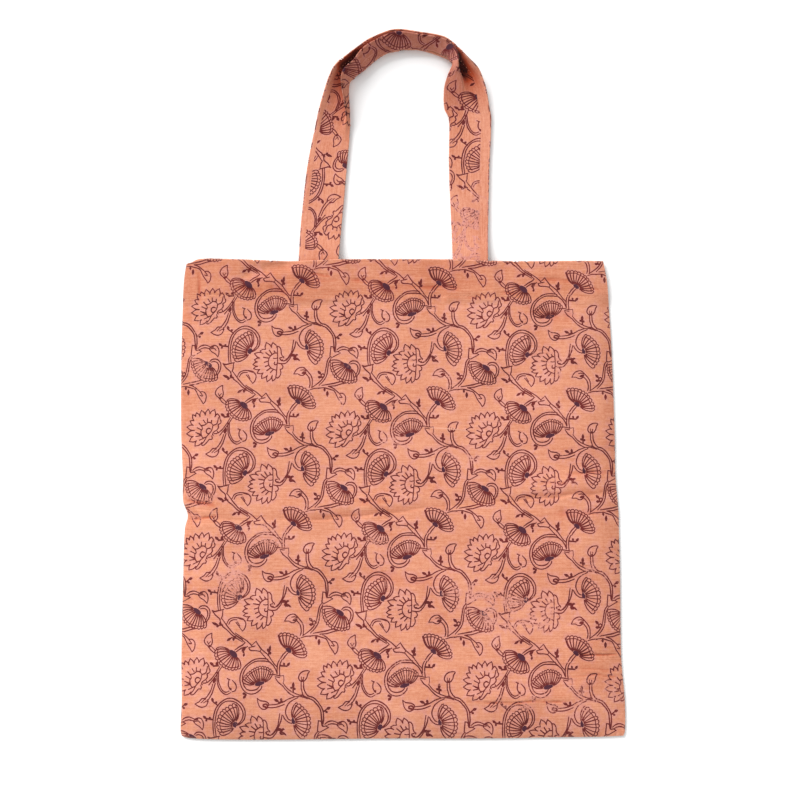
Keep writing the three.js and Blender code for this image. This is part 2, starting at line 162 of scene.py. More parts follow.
# Back handle: outer edge, inner edge, base.
BACK_HANDLE_ROWS = [
    (-93.0, 388, -58.2, 388, 3.1), (-90.7, 422, -55.8, 422, 3.1), (-89.4, 440, -54.2, 440, 1.2),
    (-84.2, 506, -48.8, 508, 0.8), (-78.0, 540, -46.9, 539, 0.8), (-72.8, 565, -47.2, 557, 0.8),
    (-65.6, 590, -47.2, 584, 0.8), (-59.2, 603.5, -42.0, 592, 0.8), (-48.1, 612.9, -34.0, 598.5, 0.8),
    (-24.9, 629, -16.8, 613, 0.8), (-4.6, 638.6, -1.0, 618, 0.8), (18.4, 635, 18.0, 618.5, 0.8),
    (46.2, 627.0, 41.0, 611.2, 0.8), (54.0, 617.2, 46.6, 607.6, 0.8), (60.8, 608.8, 49.4, 603.5, 0.8), (69.0, 601.0, 49.0, 598, 0.8),
    (77.8, 581, 45.6, 579, 0.8), (82.0, 549, 46.4, 549, 0.8), (81.0, 508, 45.6, 508, 0.8),
    (79.3, 440, 47.6, 440, 1.2), (78.9, 422, 48.0, 422, 3.1), (78.0, 388, 49.2, 388, 3.1),
]

# The printing block was set down by hand: middle of each print, row by row.
STAMP_ROWS = [
    [(-193.2, 380.5), (-68.9, 378.7), (53.7, 376.9), (177.0, 374.2)],
    [(-195.5, 271.7), (-71.7, 269.9), (52.2, 269.0), (176.0, 268.2)],
    [(-199.5, 162.6), (-74.4, 162.6), (49.9, 161.8), (174.1, 160.0)],
    [(-201.6, 55.1), (-77.8, 52.6), (48.4, 51.7), (171.2, 50.0)],
]
REPEAT_RIGHT = (124.0, -1.0)
REPEAT_DOWN = (-2.6, -108.3)

# The flowering vine of the block, one repeat, drawn line by line from the
# middle of the block: LINES (width, points), FANS (foot, size of its dark
# foot, ribs, rims, rim points) and LEAFLETS (base, tip, width).
LINES = [
    (1,[(-22.7,45.8), (-20.8,49.1), (-18.2,51.1), (-14.7,51.7), (-12.2,49.9), (-10.2,47.8), (-7.8,44.9), (-6.4,41.6), (-6.2,37.5), (-6.5,34.2)]),
    (1,[(-22.7,45.7), (-19.2,45.8), (-16.7,44.5), (-14.7,44.5), (-12.9,45.7), (-11.8,45.8), (-9.4,42.9), (-8.4,39.6), (-8.2,36.3), (-9,33.6)]),
    (1,[(-16.7,49.1), (-14.3,49.5), (-12,48.6)]),
    (1,[(-20.9,20.2), (-23.7,17.3), (-25.8,14.1)]),
    (1,[(-26.6,13), (-28.2,9.5), (-28.6,4.8), (-28.3,1.5)]),
    (1,[(-19.2,19), (-22.1,15.7), (-23.8,13)]),
    (1,[(-24.6,13), (-26.1,9.3), (-26.6,4.8), (-26.2,0.2)]),
    (1,[(-67.7,35.5), (-62.8,31.8), (-60,30.1), (-56.7,27.3)]),
    (1,[(-65.3,35.4), (-62.8,33.8), (-58.4,30.9), (-55.1,28.8), (-51.4,25.4), (-50.5,23.9), (-47.8,24.5)]),
    (1,[(-47.8,24.5), (-50.6,23.8), (-53.4,23), (-51.9,20.7), (-47.4,20.5), (-43.7,19.8), (-42,18.2), (-38.4,14.1)]),
    (1,[(-50.6,25.2), (-47.2,28.5), (-45.3,25.5), (-42.5,21.9), (-38.4,18.6), (-36.2,16.5), (-33.9,13)]),
    (1,[(-42.5,21.7), (-43.7,19.8)]),
    (1,[(-38.4,14.2), (-34.8,10.6), (-31.8,8), (-29.8,4.7), (-28.6,1.1)]),
    (1,[(-33.9,13.2), (-31.4,9.6), (-29,7.2)]),
    (1,[(-36.8,13.4), (-41.7,13.9), (-45.7,13.6), (-49.4,12.6), (-53.8,9.6), (-57.5,6), (-59.6,2.3), (-60.6,-2.2), (-60.4,-6.7), (-58.7,-11.2), (-55.5,-14.8), (-51.4,-16.2), (-47.3,-15.6), (-44.1,-13.6), (-42,-11.2), (-41.5,-9.3)]),
    (1,[(-34.8,10.6), (-36.8,11.4), (-40,11.8), (-43.7,11.8), (-47.8,11.3), (-52.2,8.8), (-55.5,5.6), (-57.5,1.9), (-58.5,-2.2), (-57.9,-6.7), (-56.7,-9.9), (-54.3,-12.4), (-50.6,-13.2), (-46.6,-12.4), (-44.5,-10.8), (-43.5,-9.1)]),
    (1,[(-35.2,0.4), (-30.7,0.4), (-25.8,-0.6)]),
    (1,[(-30.3,-1.3), (-26.2,-2)]),
    (1,[(-30,-2.4), (-27.5,-5.9), (-23.8,-8.7)]),
    (0.7,[(-25.8,-0.6), (-22.8,-0.2), (-22.5,-4.2), (-23.2,-6.6)]),
    (1,[(-23.2,-6.6), (-20.2,-10.4), (-16.6,-13.2), (-12.5,-15.2), (-8.5,-16.5), (-5.2,-16.5)]),
    (1,[(-23.8,-8.6), (-20.6,-12.4), (-17,-15.6), (-12.8,-17.7)]),
    (1.1,[(-8.5,-16.5), (-6,-16.5), (-3.2,-18.1), (-0.4,-19)]),
    (1.1,[(-1.9,-17.1), (2.4,-18.1), (5.9,-20.7), (8.6,-24.2), (10.6,-27.6), (11.6,-30.7), (11.9,-36.3), (11.4,-41.5)]),
    (1,[(-12.8,-17.7), (-8.5,-17.6), (-5.2,-18.1), (-2,-19.3)]),
    (1.1,[(-1,-19.1), (2.9,-20.7), (5.9,-23.7), (8.5,-27.2), (9.6,-30.7), (10.1,-35), (10.4,-38.5), (11.2,-42.4)]),
    (1,[(-7.6,-5.2), (-7.6,-9.9), (-6.8,-13.6), (-5.9,-16.5)]),
    (1,[(-5.5,-5), (-5.2,-10.7), (-3.2,-15.2), (-0.2,-17.7)]),
    (0.9,[(-7.3,-4.5), (-7.5,-1.1)]),
    (0.9,[(-5.8,-4.5), (-5.5,-1.4)]),
    (1,[(-0.6,3.9), (-4.6,3.9), (-7.6,2.6), (-9.4,0.3), (-9.9,-2.3), (-8.7,-4.3), (-6.6,-5), (-4.3,-4), (-2.7,-1.6), (-2,1.3), (-0.6,3.9)]),
    (1,[(-12.8,-17.8), (-18.2,-19.7), (-21.4,-21.7), (-25.1,-23.4), (-29.2,-24.6), (-35.2,-25.2)]),
    (1,[(-21.9,-24.4), (-27.1,-26.5), (-31.6,-27.4), (-36,-27.4)]),
    (1,[(-35.2,-25), (-36,-23.4), (-38.5,-22.2), (-42.5,-21.7), (-45.4,-19.8), (-44.7,-23.7), (-43.3,-26.9), (-40.9,-28.8), (-38.5,-28.8), (-36,-27.4)]),
    (1.5,[(-36,-25.8), (-38,-24.5), (-40.1,-25), (-40,-26.4), (-36.9,-27.2), (-36,-25.8)]),
    (1,[(-21.2,74.8), (-22.1,70.1), (-23.9,65.2), (-26,61.9), (-29.3,58)]),
    (1,[(-10.1,-18.6), (-15,-20.9), (-18.6,-24.2), (-20.6,-28.7), (-20.6,-32.3), (-18.7,-36.4), (-16.2,-38)]),
    (1,[(-22.9,-33.9), (-21.5,-36.8), (-18.3,-39.6), (-15.4,-40.4)]),
    (1,[(7.5,-37.7), (7.1,-42.8), (6.8,-46.7), (8.8,-47.6)]),
    (1,[(7.5,-37.9), (9.7,-38.5), (10.5,-41.9), (11.4,-42.8), (13.6,-42.3), (16.1,-43.6), (12.8,-45.4), (8.8,-47.6)]),
    (1,[(12.8,-41), (15.3,-38.9), (18.8,-38), (22.2,-38.8), (24.6,-39.8)]),
    (1,[(13.6,-42.5), (16.2,-41), (19.2,-40.4), (22.6,-41.1), (24,-41.9)]),
    (1,[(23.5,-40.6), (25.7,-38.9), (28.7,-38.5), (30.9,-40.2), (31.9,-43.2), (31.7,-46.3), (31,-48.6), (28.3,-45.8), (25.3,-44.1), (23.2,-41.9)]),
    (1.4,[(24.4,-40.2), (26.8,-39.8)]),
    (1,[(24.4,-41.5), (27.5,-41.1), (29.2,-42.8)]),
    (1,[(9.1,60.7), (7.2,58), (6.1,52.7), (5.2,47.4), (4.1,43.9), (1.5,40), (-2,36.9), (-4.7,35.1), (-6.9,33.4)]),
    (1,[(10.3,59.8), (8.5,56.3), (7.6,51.9), (7,46.6), (5.8,43), (3.2,39.1), (-0.2,35.6)]),
    (1,[(-8.2,31.7), (-4.2,32.9), (0.7,33.3)]),
    (1,[(-0.8,32.8), (1.4,33.4), (5.3,33.4), (9.7,32), (13.3,30.7), (15.3,27.2), (17,23.7), (19.3,20.6), (20.9,17.8)]),
    (1,[(26.4,55.4), (28.2,57.2), (31.3,57.7), (33.9,56.7), (36,54.1), (36.4,51), (35.5,47), (33.8,44.4), (33,40.8)]),
    (1,[(27.7,54.9), (30.4,55.5), (33,54.5), (34.3,52.3), (34.3,49.2), (33,45.7), (31.7,43)]),
    (1.1,[(2.3,35.6), (7.1,36.5), (12.8,37.4), (17.6,38.7), (21.1,39.3)]),
    (1.1,[(8,34.8), (14.1,35.2), (19.3,36.9), (23.7,37.8)]),
    (1,[(8,34.8), (11.9,33.4), (15.4,30.7), (17.9,28.5), (20.5,25)]),
    (1,[(17.9,28.5), (21,28.5), (23.2,26.3), (23.6,23.3), (22.7,19.8), (20.9,17.8)]),
    (1,[(17.9,25.2), (19.7,24.7), (20.6,25.1)]),
    (1,[(41.1,-54.8), (40.3,-48), (40.2,-41.5), (40.9,-35.9), (42.2,-31.1), (44.4,-27.2), (47.5,-24.2), (51.9,-21.5), (57,-21), (61.3,-22.9), (64.3,-25)]),
    (1,[(42.9,-54.8), (42,-48), (41.9,-42.8), (42.6,-37.2), (43.9,-32), (45.7,-28.5), (48.3,-25.5), (52.2,-23.6), (57,-23.6), (60.9,-25), (64.2,-27.8)]),
    (1,[(60.8,-22.2), (64.8,-25.5), (67.6,-29.9), (68.3,-34), (67.5,-38.5), (64.6,-42.1), (61.3,-44), (58.9,-43.8)]),
    (1,[(60.7,-24.6), (63.9,-27.9), (65.9,-31.6), (66.5,-35.2), (65.4,-38.9), (63,-42.1), (60.9,-43.2)]),
    (1.1,[(38.2,53.5), (40.9,52.7), (44.8,53.7), (48.4,54.6)]),
    (1,[(38.4,53.2), (41.2,49.6), (44.3,47), (45.5,45.7)]),
    (1,[(47.6,53.7), (47.3,49.2), (46.4,46.6)]),
    (1,[(44.9,46.4), (46,42.7), (48.1,39.5), (51.6,36.9), (55,33.4), (58.5,30.7), (65,26.8)]),
    (1,[(46.9,46.6), (49.5,43), (52.9,38.6), (56.4,34.7), (59.8,32), (65,29.1)]),
    (1,[(51.2,42.2), (53,45.7), (56.1,47.3), (60,47.5), (64.8,45.9)]),
    (1,[(52.9,41.7), (54.3,44.4), (56.9,45.7), (60,45.7)]),
    (1,[(60.8,47.6), (64.8,46.6), (67.3,44.1), (67.8,41.5), (66.6,37.9), (64.9,36), (61.5,40.3), (59.1,43.6)]),
    (1,[(60.5,43.9), (62.6,40.4)]),
    (1,[(38,34.1), (34.2,32), (32.3,29.4), (31.7,27.2), (32.7,25), (35.3,22.8)]),
    (1,[(38.3,34), (38.2,30.7), (38.9,27.6), (38.4,24.6), (36.7,22.8)]),
    (1,[(34.4,26.9), (35.4,24.6), (37.2,26.9)]),
    (1,[(35,22.8), (38,19.3), (41.4,16.7)]),
    (1,[(37.9,22.8), (41.9,18.9)]),
    (1,[(58.4,19.8), (61.9,22.4), (64.9,24), (67.4,26.2)]),
    (1,[(59.7,18.4), (62.7,20.6), (64.9,21.8), (68,22.6)]),
    (1,[(45.6,5.6), (42.1,-0.2), (38.5,-5), (35,-8.1)]),
    (1,[(47.8,6), (43.8,-0.2), (40.7,-4.6), (37.2,-8.9), (36.3,-10.2)]),
    (1,[(43.4,1.2), (43.3,-4.6), (44.1,-9.8), (46.3,-14.2), (49.3,-17.1), (52.3,-18), (55.4,-16.2)]),
    (1,[(44.7,1.2), (44.6,-5.9), (45.9,-10.2), (48,-14.2), (51.1,-16), (54.2,-14.9)]),
    (1.2,[(52.4,-4.4), (54.6,-5.4)]),
    (1,[(53.8,-5.6), (53.3,-9.8), (54.5,-12.8), (55.9,-14.2)]),
    (1,[(56.8,-5.8), (59.3,-8.4), (60.4,-11.5), (59.3,-14.6), (56.7,-15.5)]),
    (1,[(39.8,-9.4), (38,-15), (35.4,-19.4), (32.8,-22.4)]),
    (1,[(42,-8.5), (40.6,-13.3), (39.3,-17.2), (37.1,-21.1), (35,-24.2)]),
    (1,[(32.8,-21.9), (30.2,-22), (28,-24.6), (24.3,-26.7), (27.9,-28.8), (31,-29.3), (34,-28), (35.8,-24.6), (35.4,-22.4)]),
    (1,[(32.8,-22.4), (29.8,-25.5)]),
    (1,[(34.6,-23.7), (31.9,-25.5)]),
    (1.3,[(-36.4,16.2), (-36,19.1)]),
    (1.2,[(-54.5,24), (-56.3,22.8)]),
    (1.2,[(4.6,44.4), (3.2,46.1), (1.6,45.1), (1.9,42.7), (3.7,43.3), (4.6,44.4)]),
    (1.3,[(44.2,40.6), (47.7,41.3)]),
    (1.2,[(55.4,30.4), (60.2,29.7)]),
    (1.6,[(-25.4,8), (-20.1,7.6)]),
    (1.4,[(-14.3,-13.7), (-14.5,-10.5)]),
    (1.8,[(-26.7,-23.3), (-23.9,-22)]),
    (1.4,[(11.8,-30.2), (14.3,-28.2)]),
    (1.5,[(34.3,-38.9), (40.2,-39.5)]),
    (1.5,[(40.2,-24.3), (42.3,-26), (44.6,-27.6)]),
    (1.8,[(40,6), (44.3,6.4)]),
    (1,[(36.3,4), (35.9,6.5), (34.1,9), (32.3,7.5), (31.5,6), (32.3,9), (31.4,12.7), (28.6,11.1), (27.2,8.9), (26.9,10.9), (25.5,13), (23.5,10.4), (23.1,7.7), (22,10), (19.5,12), (18.2,9), (18.4,6.4), (17.3,8.4), (15,10), (14.3,8.1), (14.4,6.5), (13.3,7.6), (11.4,8.2), (11.5,5.2), (12.8,2.9), (11.2,3.2), (9.2,2.7), (10.4,0.2), (12.2,-1.2), (9.4,-1.1), (6.3,-2.6), (9.8,-5.3), (13.5,-5.9), (9.9,-6.3), (6.3,-8.7), (9.4,-10.7), (12.5,-11), (10.4,-12.6), (9.1,-15.6), (12.8,-16), (15.6,-14.9), (14.5,-16.9), (14.4,-19.7), (18.2,-18.7), (20.7,-16.4)]),
    (1,[(20.7,-16.4), (20.3,-18.4), (21.5,-19.1), (23.3,-18.2), (25.3,-16), (27.3,-13.7), (29,-13.9), (29.8,-12.5), (29.2,-10.5)]),
    (1,[(34.9,5.6), (33.6,0.2), (30.2,-1.5), (29.5,-4.5), (28.2,-7.3), (26.4,-9.1), (24.5,-11.5), (22.8,-15), (20.8,-17.7)]),
    (1,[(36.3,4), (37.2,2.6), (36.9,0.6), (34.7,-0.8), (35.1,-3), (34,-5.1), (32,-6.5), (30.4,-7.7), (29.8,-9.7), (30.8,-10.1)]),
    (1,[(30.2,-1.5), (28.6,0.7), (26.8,1.2), (25.5,1.2), (23.9,-0.2), (22.1,-1.2), (20.1,-1.4), (20.7,-4.5), (19.5,-5.9), (19.5,-8.7), (20.3,-11.1), (21.7,-12.5), (24.5,-11.5)]),
    (1.2,[(17.4,0.7), (20.1,-2.4)]),
    (1.2,[(21.3,3.4), (23.2,0.7)]),
    (1.2,[(25.1,4.5), (25.1,1.2)]),
    (1.2,[(28.8,3.2), (28.5,0.5)]),
    (1.2,[(15.8,-3.4), (20.1,-5.5)]),
    (1.2,[(14.8,-7.7), (19.3,-9.1)]),
    (1.2,[(15,-11.2), (19.7,-10.3)]),
    (1.2,[(18.2,-14.5), (22.1,-12.7)]),
    (1.2,[(16.6,-8.7), (18.9,-9.7)]),
    (1.15,[(28.2,-4.7), (26.4,-3.9), (24.7,-4.9), (24.2,-6.7), (25.1,-8.5), (26.6,-8.7), (28,-7.3)]),
    (1,[(34,-6.5), (34.9,-7.7), (33.2,-8.7), (31.2,-8.7)]),
    (1,[(-37.6,68.6), (-38.8,71.4), (-41.7,73.7), (-42.8,71.3), (-42.7,69.2), (-44.3,71.8), (-47.4,73.7), (-48.5,70.3), (-48,67.5), (-50.4,67.5), (-53,66.2), (-51.7,64.5), (-50.3,63.8), (-53.8,64.8), (-58,63.8), (-55.8,61), (-53,59.7), (-55.5,59.6), (-58,58.2), (-56.6,56.7), (-55.1,56.2), (-57.2,55.7), (-59.2,53.9), (-57,52.5), (-54.9,52.3), (-56.8,51.8), (-58.6,50.3), (-55.6,49.2), (-52.9,49.6), (-54.3,48.3), (-55.2,46), (-52.3,45.7), (-50,46.5), (-51.2,44.4), (-51.3,41.5), (-48.2,42.4), (-46.2,44.2), (-47,41.7), (-46.4,38.7), (-43.2,41.1), (-41.8,44.2), (-42.2,41.9), (-41.4,39.2), (-39.4,40.8), (-38.5,42.7)]),
    (1,[(-37.6,69.2), (-37.4,64.1), (-37.2,59.4), (-37.5,54.6), (-38,48.8), (-38.3,45.1), (-38.7,42.7)]),
    (1,[(-38.1,69.1), (-37.3,70.3), (-35.6,69.6), (-34.3,67.2), (-34.1,64.1), (-33.2,61.9), (-31.9,60.9), (-31.8,59.9)]),
    (1,[(-33.8,54.3), (-32.4,52.4), (-33.1,50.3), (-34.9,49.7), (-34.2,47), (-34.9,44.3), (-37,42), (-38.7,42.7)]),
    (1,[(-37.6,64.2), (-40,64.3), (-42.1,63), (-43.9,61.4), (-45.1,58.7), (-45.5,56), (-44.9,53.3), (-43.4,51.2), (-41.4,50), (-38.1,48.8)]),
    (1.2,[(-44.7,66.9), (-42.4,63.3)]),
    (1.2,[(-47.8,64.5), (-44.2,61.7)]),
    (1.2,[(-49.8,60.4), (-45.4,59.7)]),
    (1.2,[(-49,55.9), (-45.6,57)]),
    (1.2,[(-48.1,52.2), (-44.8,53.6)]),
    (1.2,[(-46.8,48.5), (-43.3,51)]),
    (1.2,[(-43.5,46.8), (-41,49.6)]),
    (1.2,[(-40.5,66.2), (-39.8,65.3)]),
    (1,[(-41.2,59.7), (-39.5,59.4), (-37.8,59.8)]),
    (1.1,[(-39.8,56.2), (-40.3,54.8), (-39.2,53.7), (-37.5,54.5)]),
    (1.2,[(-32.7,58.2), (-34.1,58), (-35.2,59), (-34.8,60.2), (-33.2,60.4)]),
    (1,[(-34.1,57.5), (-31.2,57.3), (-28.5,59.7), (-26.3,62.8), (-24.8,65.8), (-24.1,70.3), (-23.2,76)]),
    (1,[(-36.8,55.3), (-33.9,54.8), (-30.2,55.2), (-27.1,58.4), (-25.1,61.4), (-23.9,63.5)]),
]
FANS = [
    ((-18.7,21), 2.9, 1.8, -33, 12, 1.7, [(-27.5,31.6), (-28.2,33.1), (-26.4,34.7), (-23.1,35.3), (-19.8,35.2), (-16.1,34.2), (-12.4,32.4), (-8.7,29.4), (-6.2,25.4), (-4.3,21), (-3.5,17.3), (-5.1,14.9)]),
    ((-43.6,-7.2), 4.7, 1.8, 12, 14, 1.5, [(-58.4,-6.2), (-57.1,-2.5), (-54,1), (-50.2,3.7), (-46.4,6), (-42.3,6.8), (-38.2,6.2), (-34.5,4.5), (-32,1.8)]),
    ((-14.2,-38.6), 2.8, 1.5, -77, 11, 2.1, [(-13.2,-24.4), (-11.3,-23.2), (-8.5,-25), (-5.4,-27.2), (-2.8,-30.4), (-0.6,-33.5), (0.2,-37.6), (0.3,-41.4), (-0.6,-45.8), (-3.2,-50.2), (-6.6,-54.1)]),
    ((25,53), 4.1, 2, -36, 13, 1.7, [(10.3,58.1), (10,54.8), (10.3,51.1), (11.7,47.6), (13.6,44.1), (16.4,41.4), (19.5,39.4), (23.6,38.4), (27.2,38), (30.9,38.6), (33.6,40.1)]),
    ((59.4,-43.4), 2.8, 2, 75, 12, 2.4, [(62,-28.3), (59.4,-25.9), (56,-27.1), (52.2,-29.3), (48.7,-31.8), (46.2,-34.9), (44.7,-38.4), (44,-42.1), (44.2,-45.9), (45.3,-49.7), (48.1,-53.2)]),
    ((57.3,16.7), 4.2, 2.2, -42, 12, 1.7, [(44.0,22.1), (42.0,19.6), (41.5,16.2), (42.5,12.8), (44.5,9.8), (47.0,7.2), (50.3,4.9), (54.0,3.5), (57.6,3.2), (61.5,3.8), (64.0,5.4)]),
]
LEAFLETS = [
    ((-15.9,46.3),(-11.4,47.6),1.9),
    ((-6.7,-5),(-6.4,-3.1),1.6),
    ((35.1,23.1),(37.9,22.9),2),
    ((54.5,-13.8),(56.2,-12.5),1.9),
    ((40.3,-8.6),(42.1,-3.8),2.3),
    ((32,-22.4),(34.1,-21.5),1.6),
    ((-36,18.2),(-34.7,25.1),1.9),
    ((-35.8,19.1),(-37.5,22.5),1.6),
    ((-36.2,17.8),(-33.8,19.3),2.1),
    ((-56.1,23),(-59.6,19.9),2.1),
    ((-58.8,20.1),(-57.2,18.2),1.4),
    ((-57.2,18.2),(-58,15.3),1.5),
    ((1.5,45.5),(-1.5,48.6),2),
    ((1.7,42.7),(-1.5,43.1),1.9),
    ((4.9,30.2),(4.6,33.4),1.6),
    ((7.3,30.8),(7.2,25.5),1.9),
    ((44.2,40.7),(38.1,43.3),1.9),
    ((44.4,40.3),(42,39.7),1.6),
    ((45.5,40.9),(45.3,44),1.7),
    ((55.4,30.3),(51.4,27.6),1.7),
    ((57.3,30.3),(57.2,27.6),1.7),
    ((59.3,29.8),(57.4,31.9),1.8),
    ((-20.1,7.7),(-17.6,10.7),1.8),
    ((-22.2,8.4),(-23.1,10.7),1.5),
    ((-14.5,-10.7),(-14.3,-5.7),1.9),
    ((-14.9,-11.3),(-17,-9.8),1.6),
    ((-14.1,-11.5),(-12.2,-10.9),1.9),
    ((-26.7,-22.2),(-30.9,-20.4),1.9),
    ((-24.5,-22.2),(-24.8,-19.1),1.7),
    ((-56.1,-15.2),(-58.2,-16.6),1.8),
    ((-55.3,-17.4),(-57.7,-20),1.9),
    ((-56.1,-15.6),(-54.9,-17.8),1.6),
    ((14.1,-28),(17.8,-26.6),2),
    ((13,-29.9),(15.4,-30.9),1.7),
    ((34.6,-39),(31.4,-36.6),1.8),
    ((37.8,-39),(37.2,-37.1),1.6),
    ((35,-39.5),(33.8,-41.3),1.6),
    ((40.3,-24.6),(39.1,-20.8),1.9),
    ((42.3,-25.9),(43.7,-23.9),1.7),
    ((40.4,6.4),(36.9,9.1),2),
    ((43.7,6.4),(42.7,9.6),2.1),
    ((-24.1,-45.4),(-21.5,-45.6),1.5),
    ((-24.6,-45),(-23.8,-48),1.9),
    ((-23.8,-47.8),(-19.9,-50.9),1.4),
    ((-24.4,63.5),(-22.4,61.4),2.4),
    ((-22.7,61.4),(-21.9,57.7),1.9),
    ((-22.1,58.7),(-19.4,59),1.6),
]

LINE_WIDTH = 1.08      # a printed line of width 1.00 in the chart


# ----------------------------------------------------------- shape functions

def clamp(v):
    return np.clip(v, 0.0, 1.0)


def smooth(v):
    t = clamp(v)
    return t * t * (3.0 - 2.0 * t)


def lerp(a, b, t):
    return a + (b - a) * t


def curve(keys, values):
    """A smooth curve through the rows of a table."""
    k = np.array(keys, float)
    v = np.array(values, float)
    m = np.empty_like(v)
    m[1:-1] = (v[2:] - v[:-2]) / (k[2:] - k[:-2])
    m[0] = (v[1] - v[0]) / (k[1] - k[0])
    m[-1] = (v[-1] - v[-2]) / (k[-1] - k[-2])

    def at(q):
        q = np.clip(np.asarray(q, float), k[0], k[-1])
        i = np.clip(np.searchsorted(k, q, side="left") - 1, 0, len(k) - 2)
        h = k[i + 1] - k[i]
        t = (q - k[i]) / h
        t2 = t * t
        t3 = t2 * t
        return ((2 * t3 - 3 * t2 + 1) * v[i] + (t3 - 2 * t2 + t) * h * m[i]
                + (3 * t2 - 2 * t3) * v[i + 1] + (t3 - t2) * h * m[i + 1])
    return at


def noise(x, y, seed):
    """Soft noise from -1 to 1 on a lattice of one unit."""
    x = np.asarray(x, float)
    y = np.asarray(y, float)
    xi = np.floor(x).astype(np.int64)
    yi = np.floor(y).astype(np.int64)
    fx = x - xi
    fy = y - yi
    fx = fx ** 3 * (fx * (fx * 6 - 15) + 10)
    fy = fy ** 3 * (fy * (fy * 6 - 15) + 10)

    def lattice(a, b):
        n = (a * 374761393 + b * 668265263 + seed * 362437) & 0xFFFFFFFF
        n = ((n ^ (n >> 13)) * 1274126177) & 0xFFFFFFFF
        n = n ^ (n >> 16)
        return n / 0x7FFFFFFF - 1.0
    low = lerp(lattice(xi, yi), lattice(xi + 1, yi), fx)
    high = lerp(lattice(xi, yi + 1), lattice(xi + 1, yi + 1), fx)
    return lerp(low, high, fy)


left_seam = curve([r[0] for r in SIDE_ROWS], [r[1] for r in SIDE_ROWS])
right_seam = curve([r[0] for r in SIDE_ROWS], [r[2] for r in SIDE_ROWS])
bottom_seam = curve([r[0] for r in EDGE_ROWS], [r[1] for r in EDGE_ROWS])
mouth_edge = curve([r[0] for r in EDGE_ROWS], [r[2] for r in EDGE_ROWS])
crease_line = curve([r[0] for r in CREASE_ROWS], [r[1] for r in CREASE_ROWS])
crease_left = curve([r[0] for r in CREASE_LEFT], [r[1] for r in CREASE_LEFT])


def crease_foot(x):
    return crease_line(x) + 1.3 * noise(np.asarray(x, float) / 17, 0.5, SEED + 4)


def segment_distance(x, y, row):
    x0, y0, x1, y1 = row[:4]
    ax, ay = x1 - x0, y1 - y0
    t = clamp(((x - x0) * ax + (y - y0) * ay) / (ax * ax + ay * ay))
    return np.hypot(x - x0 - ax * t, y - y0 - ay * t)


def ridge_sum(x, y, rows):
    total = np.zeros_like(x)
    for row in rows:
        total += row[4] * smooth(1.0 - segment_distance(x, y, row) / row[5])
    return total


def wrinkle_sum(x, y, rows):
    """Wrinkles that run out at their ends and wander in depth."""
    total = np.zeros_like(x)
    wander = 1.4 * noise(x / 13, y / 13, SEED + 6)
    for k, row in enumerate(rows):
        x0, y0, x1, y1, rise, half = row
        ax, ay = x1 - x0, y1 - y0
        t = clamp(((x - x0) * ax + (y - y0) * ay) / (ax * ax + ay * ay))
        d = np.hypot(x - x0 - ax * t, y - y0 - ay * t + wander * min(1.0, half / 3.0))
        share = smooth(4.0 * t) * smooth(4.0 * (1.0 - t)) * (0.75 + 0.5 * noise(x / 8, y / 8, SEED + 30 + k))
        total += rise * share * smooth(1.0 - d / half)
    return total


def puff(d):
    return 1.0 - (1.0 - clamp(d / SEAM_RUN)) ** 3


def height_of(x, y):
    low = bottom_seam(x)
    return (y - low) / (mouth_edge(x) - low) * BAG_HEIGHT


def hem_share(h):
    return smooth((h - 377.0) / 14.0)


def crease_rise(x, y):
    above = y - crease_foot(x) - 7.0
    return CREASE_RISE * 0.8 * crease_left(x) * smooth(1.0 - np.where(above > 0, above / CREASE_ABOVE, -above / CREASE_BELOW))


def strap_relief(x, h):
    share = np.zeros_like(x)
    for row in (FRONT_HANDLE_ROWS[1], FRONT_HANDLE_ROWS[-2]):
        low = min(row[0], row[2]) - 4.0
        high = max(row[0], row[2]) + 4.0
        share = np.maximum(share, smooth(1.0 - np.maximum(np.maximum(low - x, x - high), 0.0) / RELIEF_EDGE))
    return STRAP_RELIEF * share * smooth((h - 379.0) / 6.0)


def edge_distances(x, y):
    return x - left_seam(y), right_seam(y) - x, y - bottom_seam(x)


def front_top(x, y):
    """Height of the printed face of the front panel."""
    h = height_of(x, y)
    cloth = lerp(CLOTH, HEM_CLOTH, hem_share(h))
    dl, dr, db = edge_distances(x, y)
    near = puff(dl) * puff(dr) * puff(db)
    loft = lerp(LOFT, HEM_LOFT, hem_share(h))
    body = loft + ridge_sum(x, y, FOLD_ROWS) + crease_rise(x, y) + strap_relief(x, h)
    calm = smooth(np.minimum(np.minimum(dl, dr), db) / 6.0)
    fine = wrinkle_sum(x, y, WRINKLE_ROWS)
    fine += -0.40 * crease_left(x) * smooth(1.0 - np.abs(y - crease_foot(x) + 0.6) / 2.2)
    fine += 0.16 * noise(x / 23, y / 17, SEED) + 0.09 * noise(x / 7.5, y / 6.0, SEED + 1)
    fine += -0.10 * smooth(1.0 - np.abs(y - mouth_edge(x) + HEM_DEPTH) / 1.7)
    # the seams draw the cloth into small puckers
    pucker = (noise(y / 5.5, x / 60, SEED + 2) * smooth(1 - np.minimum(dl, dr) / 9.0)
              + noise(x / 5.5, y / 60, SEED + 3) * smooth(1 - db / 9.0))
    fine += 0.22 * pucker * smooth(np.minimum(np.minimum(dl, dr), db) / 3.0)
    # the cloth rolls down to the seams at its sides and bottom
    rim = np.minimum(np.minimum(dl, dr), db)
    roll = 0.4 * (1.0 - smooth(rim / 1.6)) * (1.0 - hem_share(h))
    return 2 * cloth + GAP + near * body + calm * fine - roll


def back_under(x, y):
    """Height of the printed face of the back panel, which lies on the ground."""
    dl, dr, db = edge_distances(x, y)
    rim = np.minimum(np.minimum(dl, dr), db)
    roll = 0.35 * (1.0 - smooth(rim / 2.0)) * (1.0 - hem_share(height_of(x, y)))
    lift = 0.12 * np.maximum(noise(x / 31, y / 27, SEED + 7), 0.0) * smooth(rim / 10.0)
    return roll + lift


# ------------------------------------------------------------ printed repeat

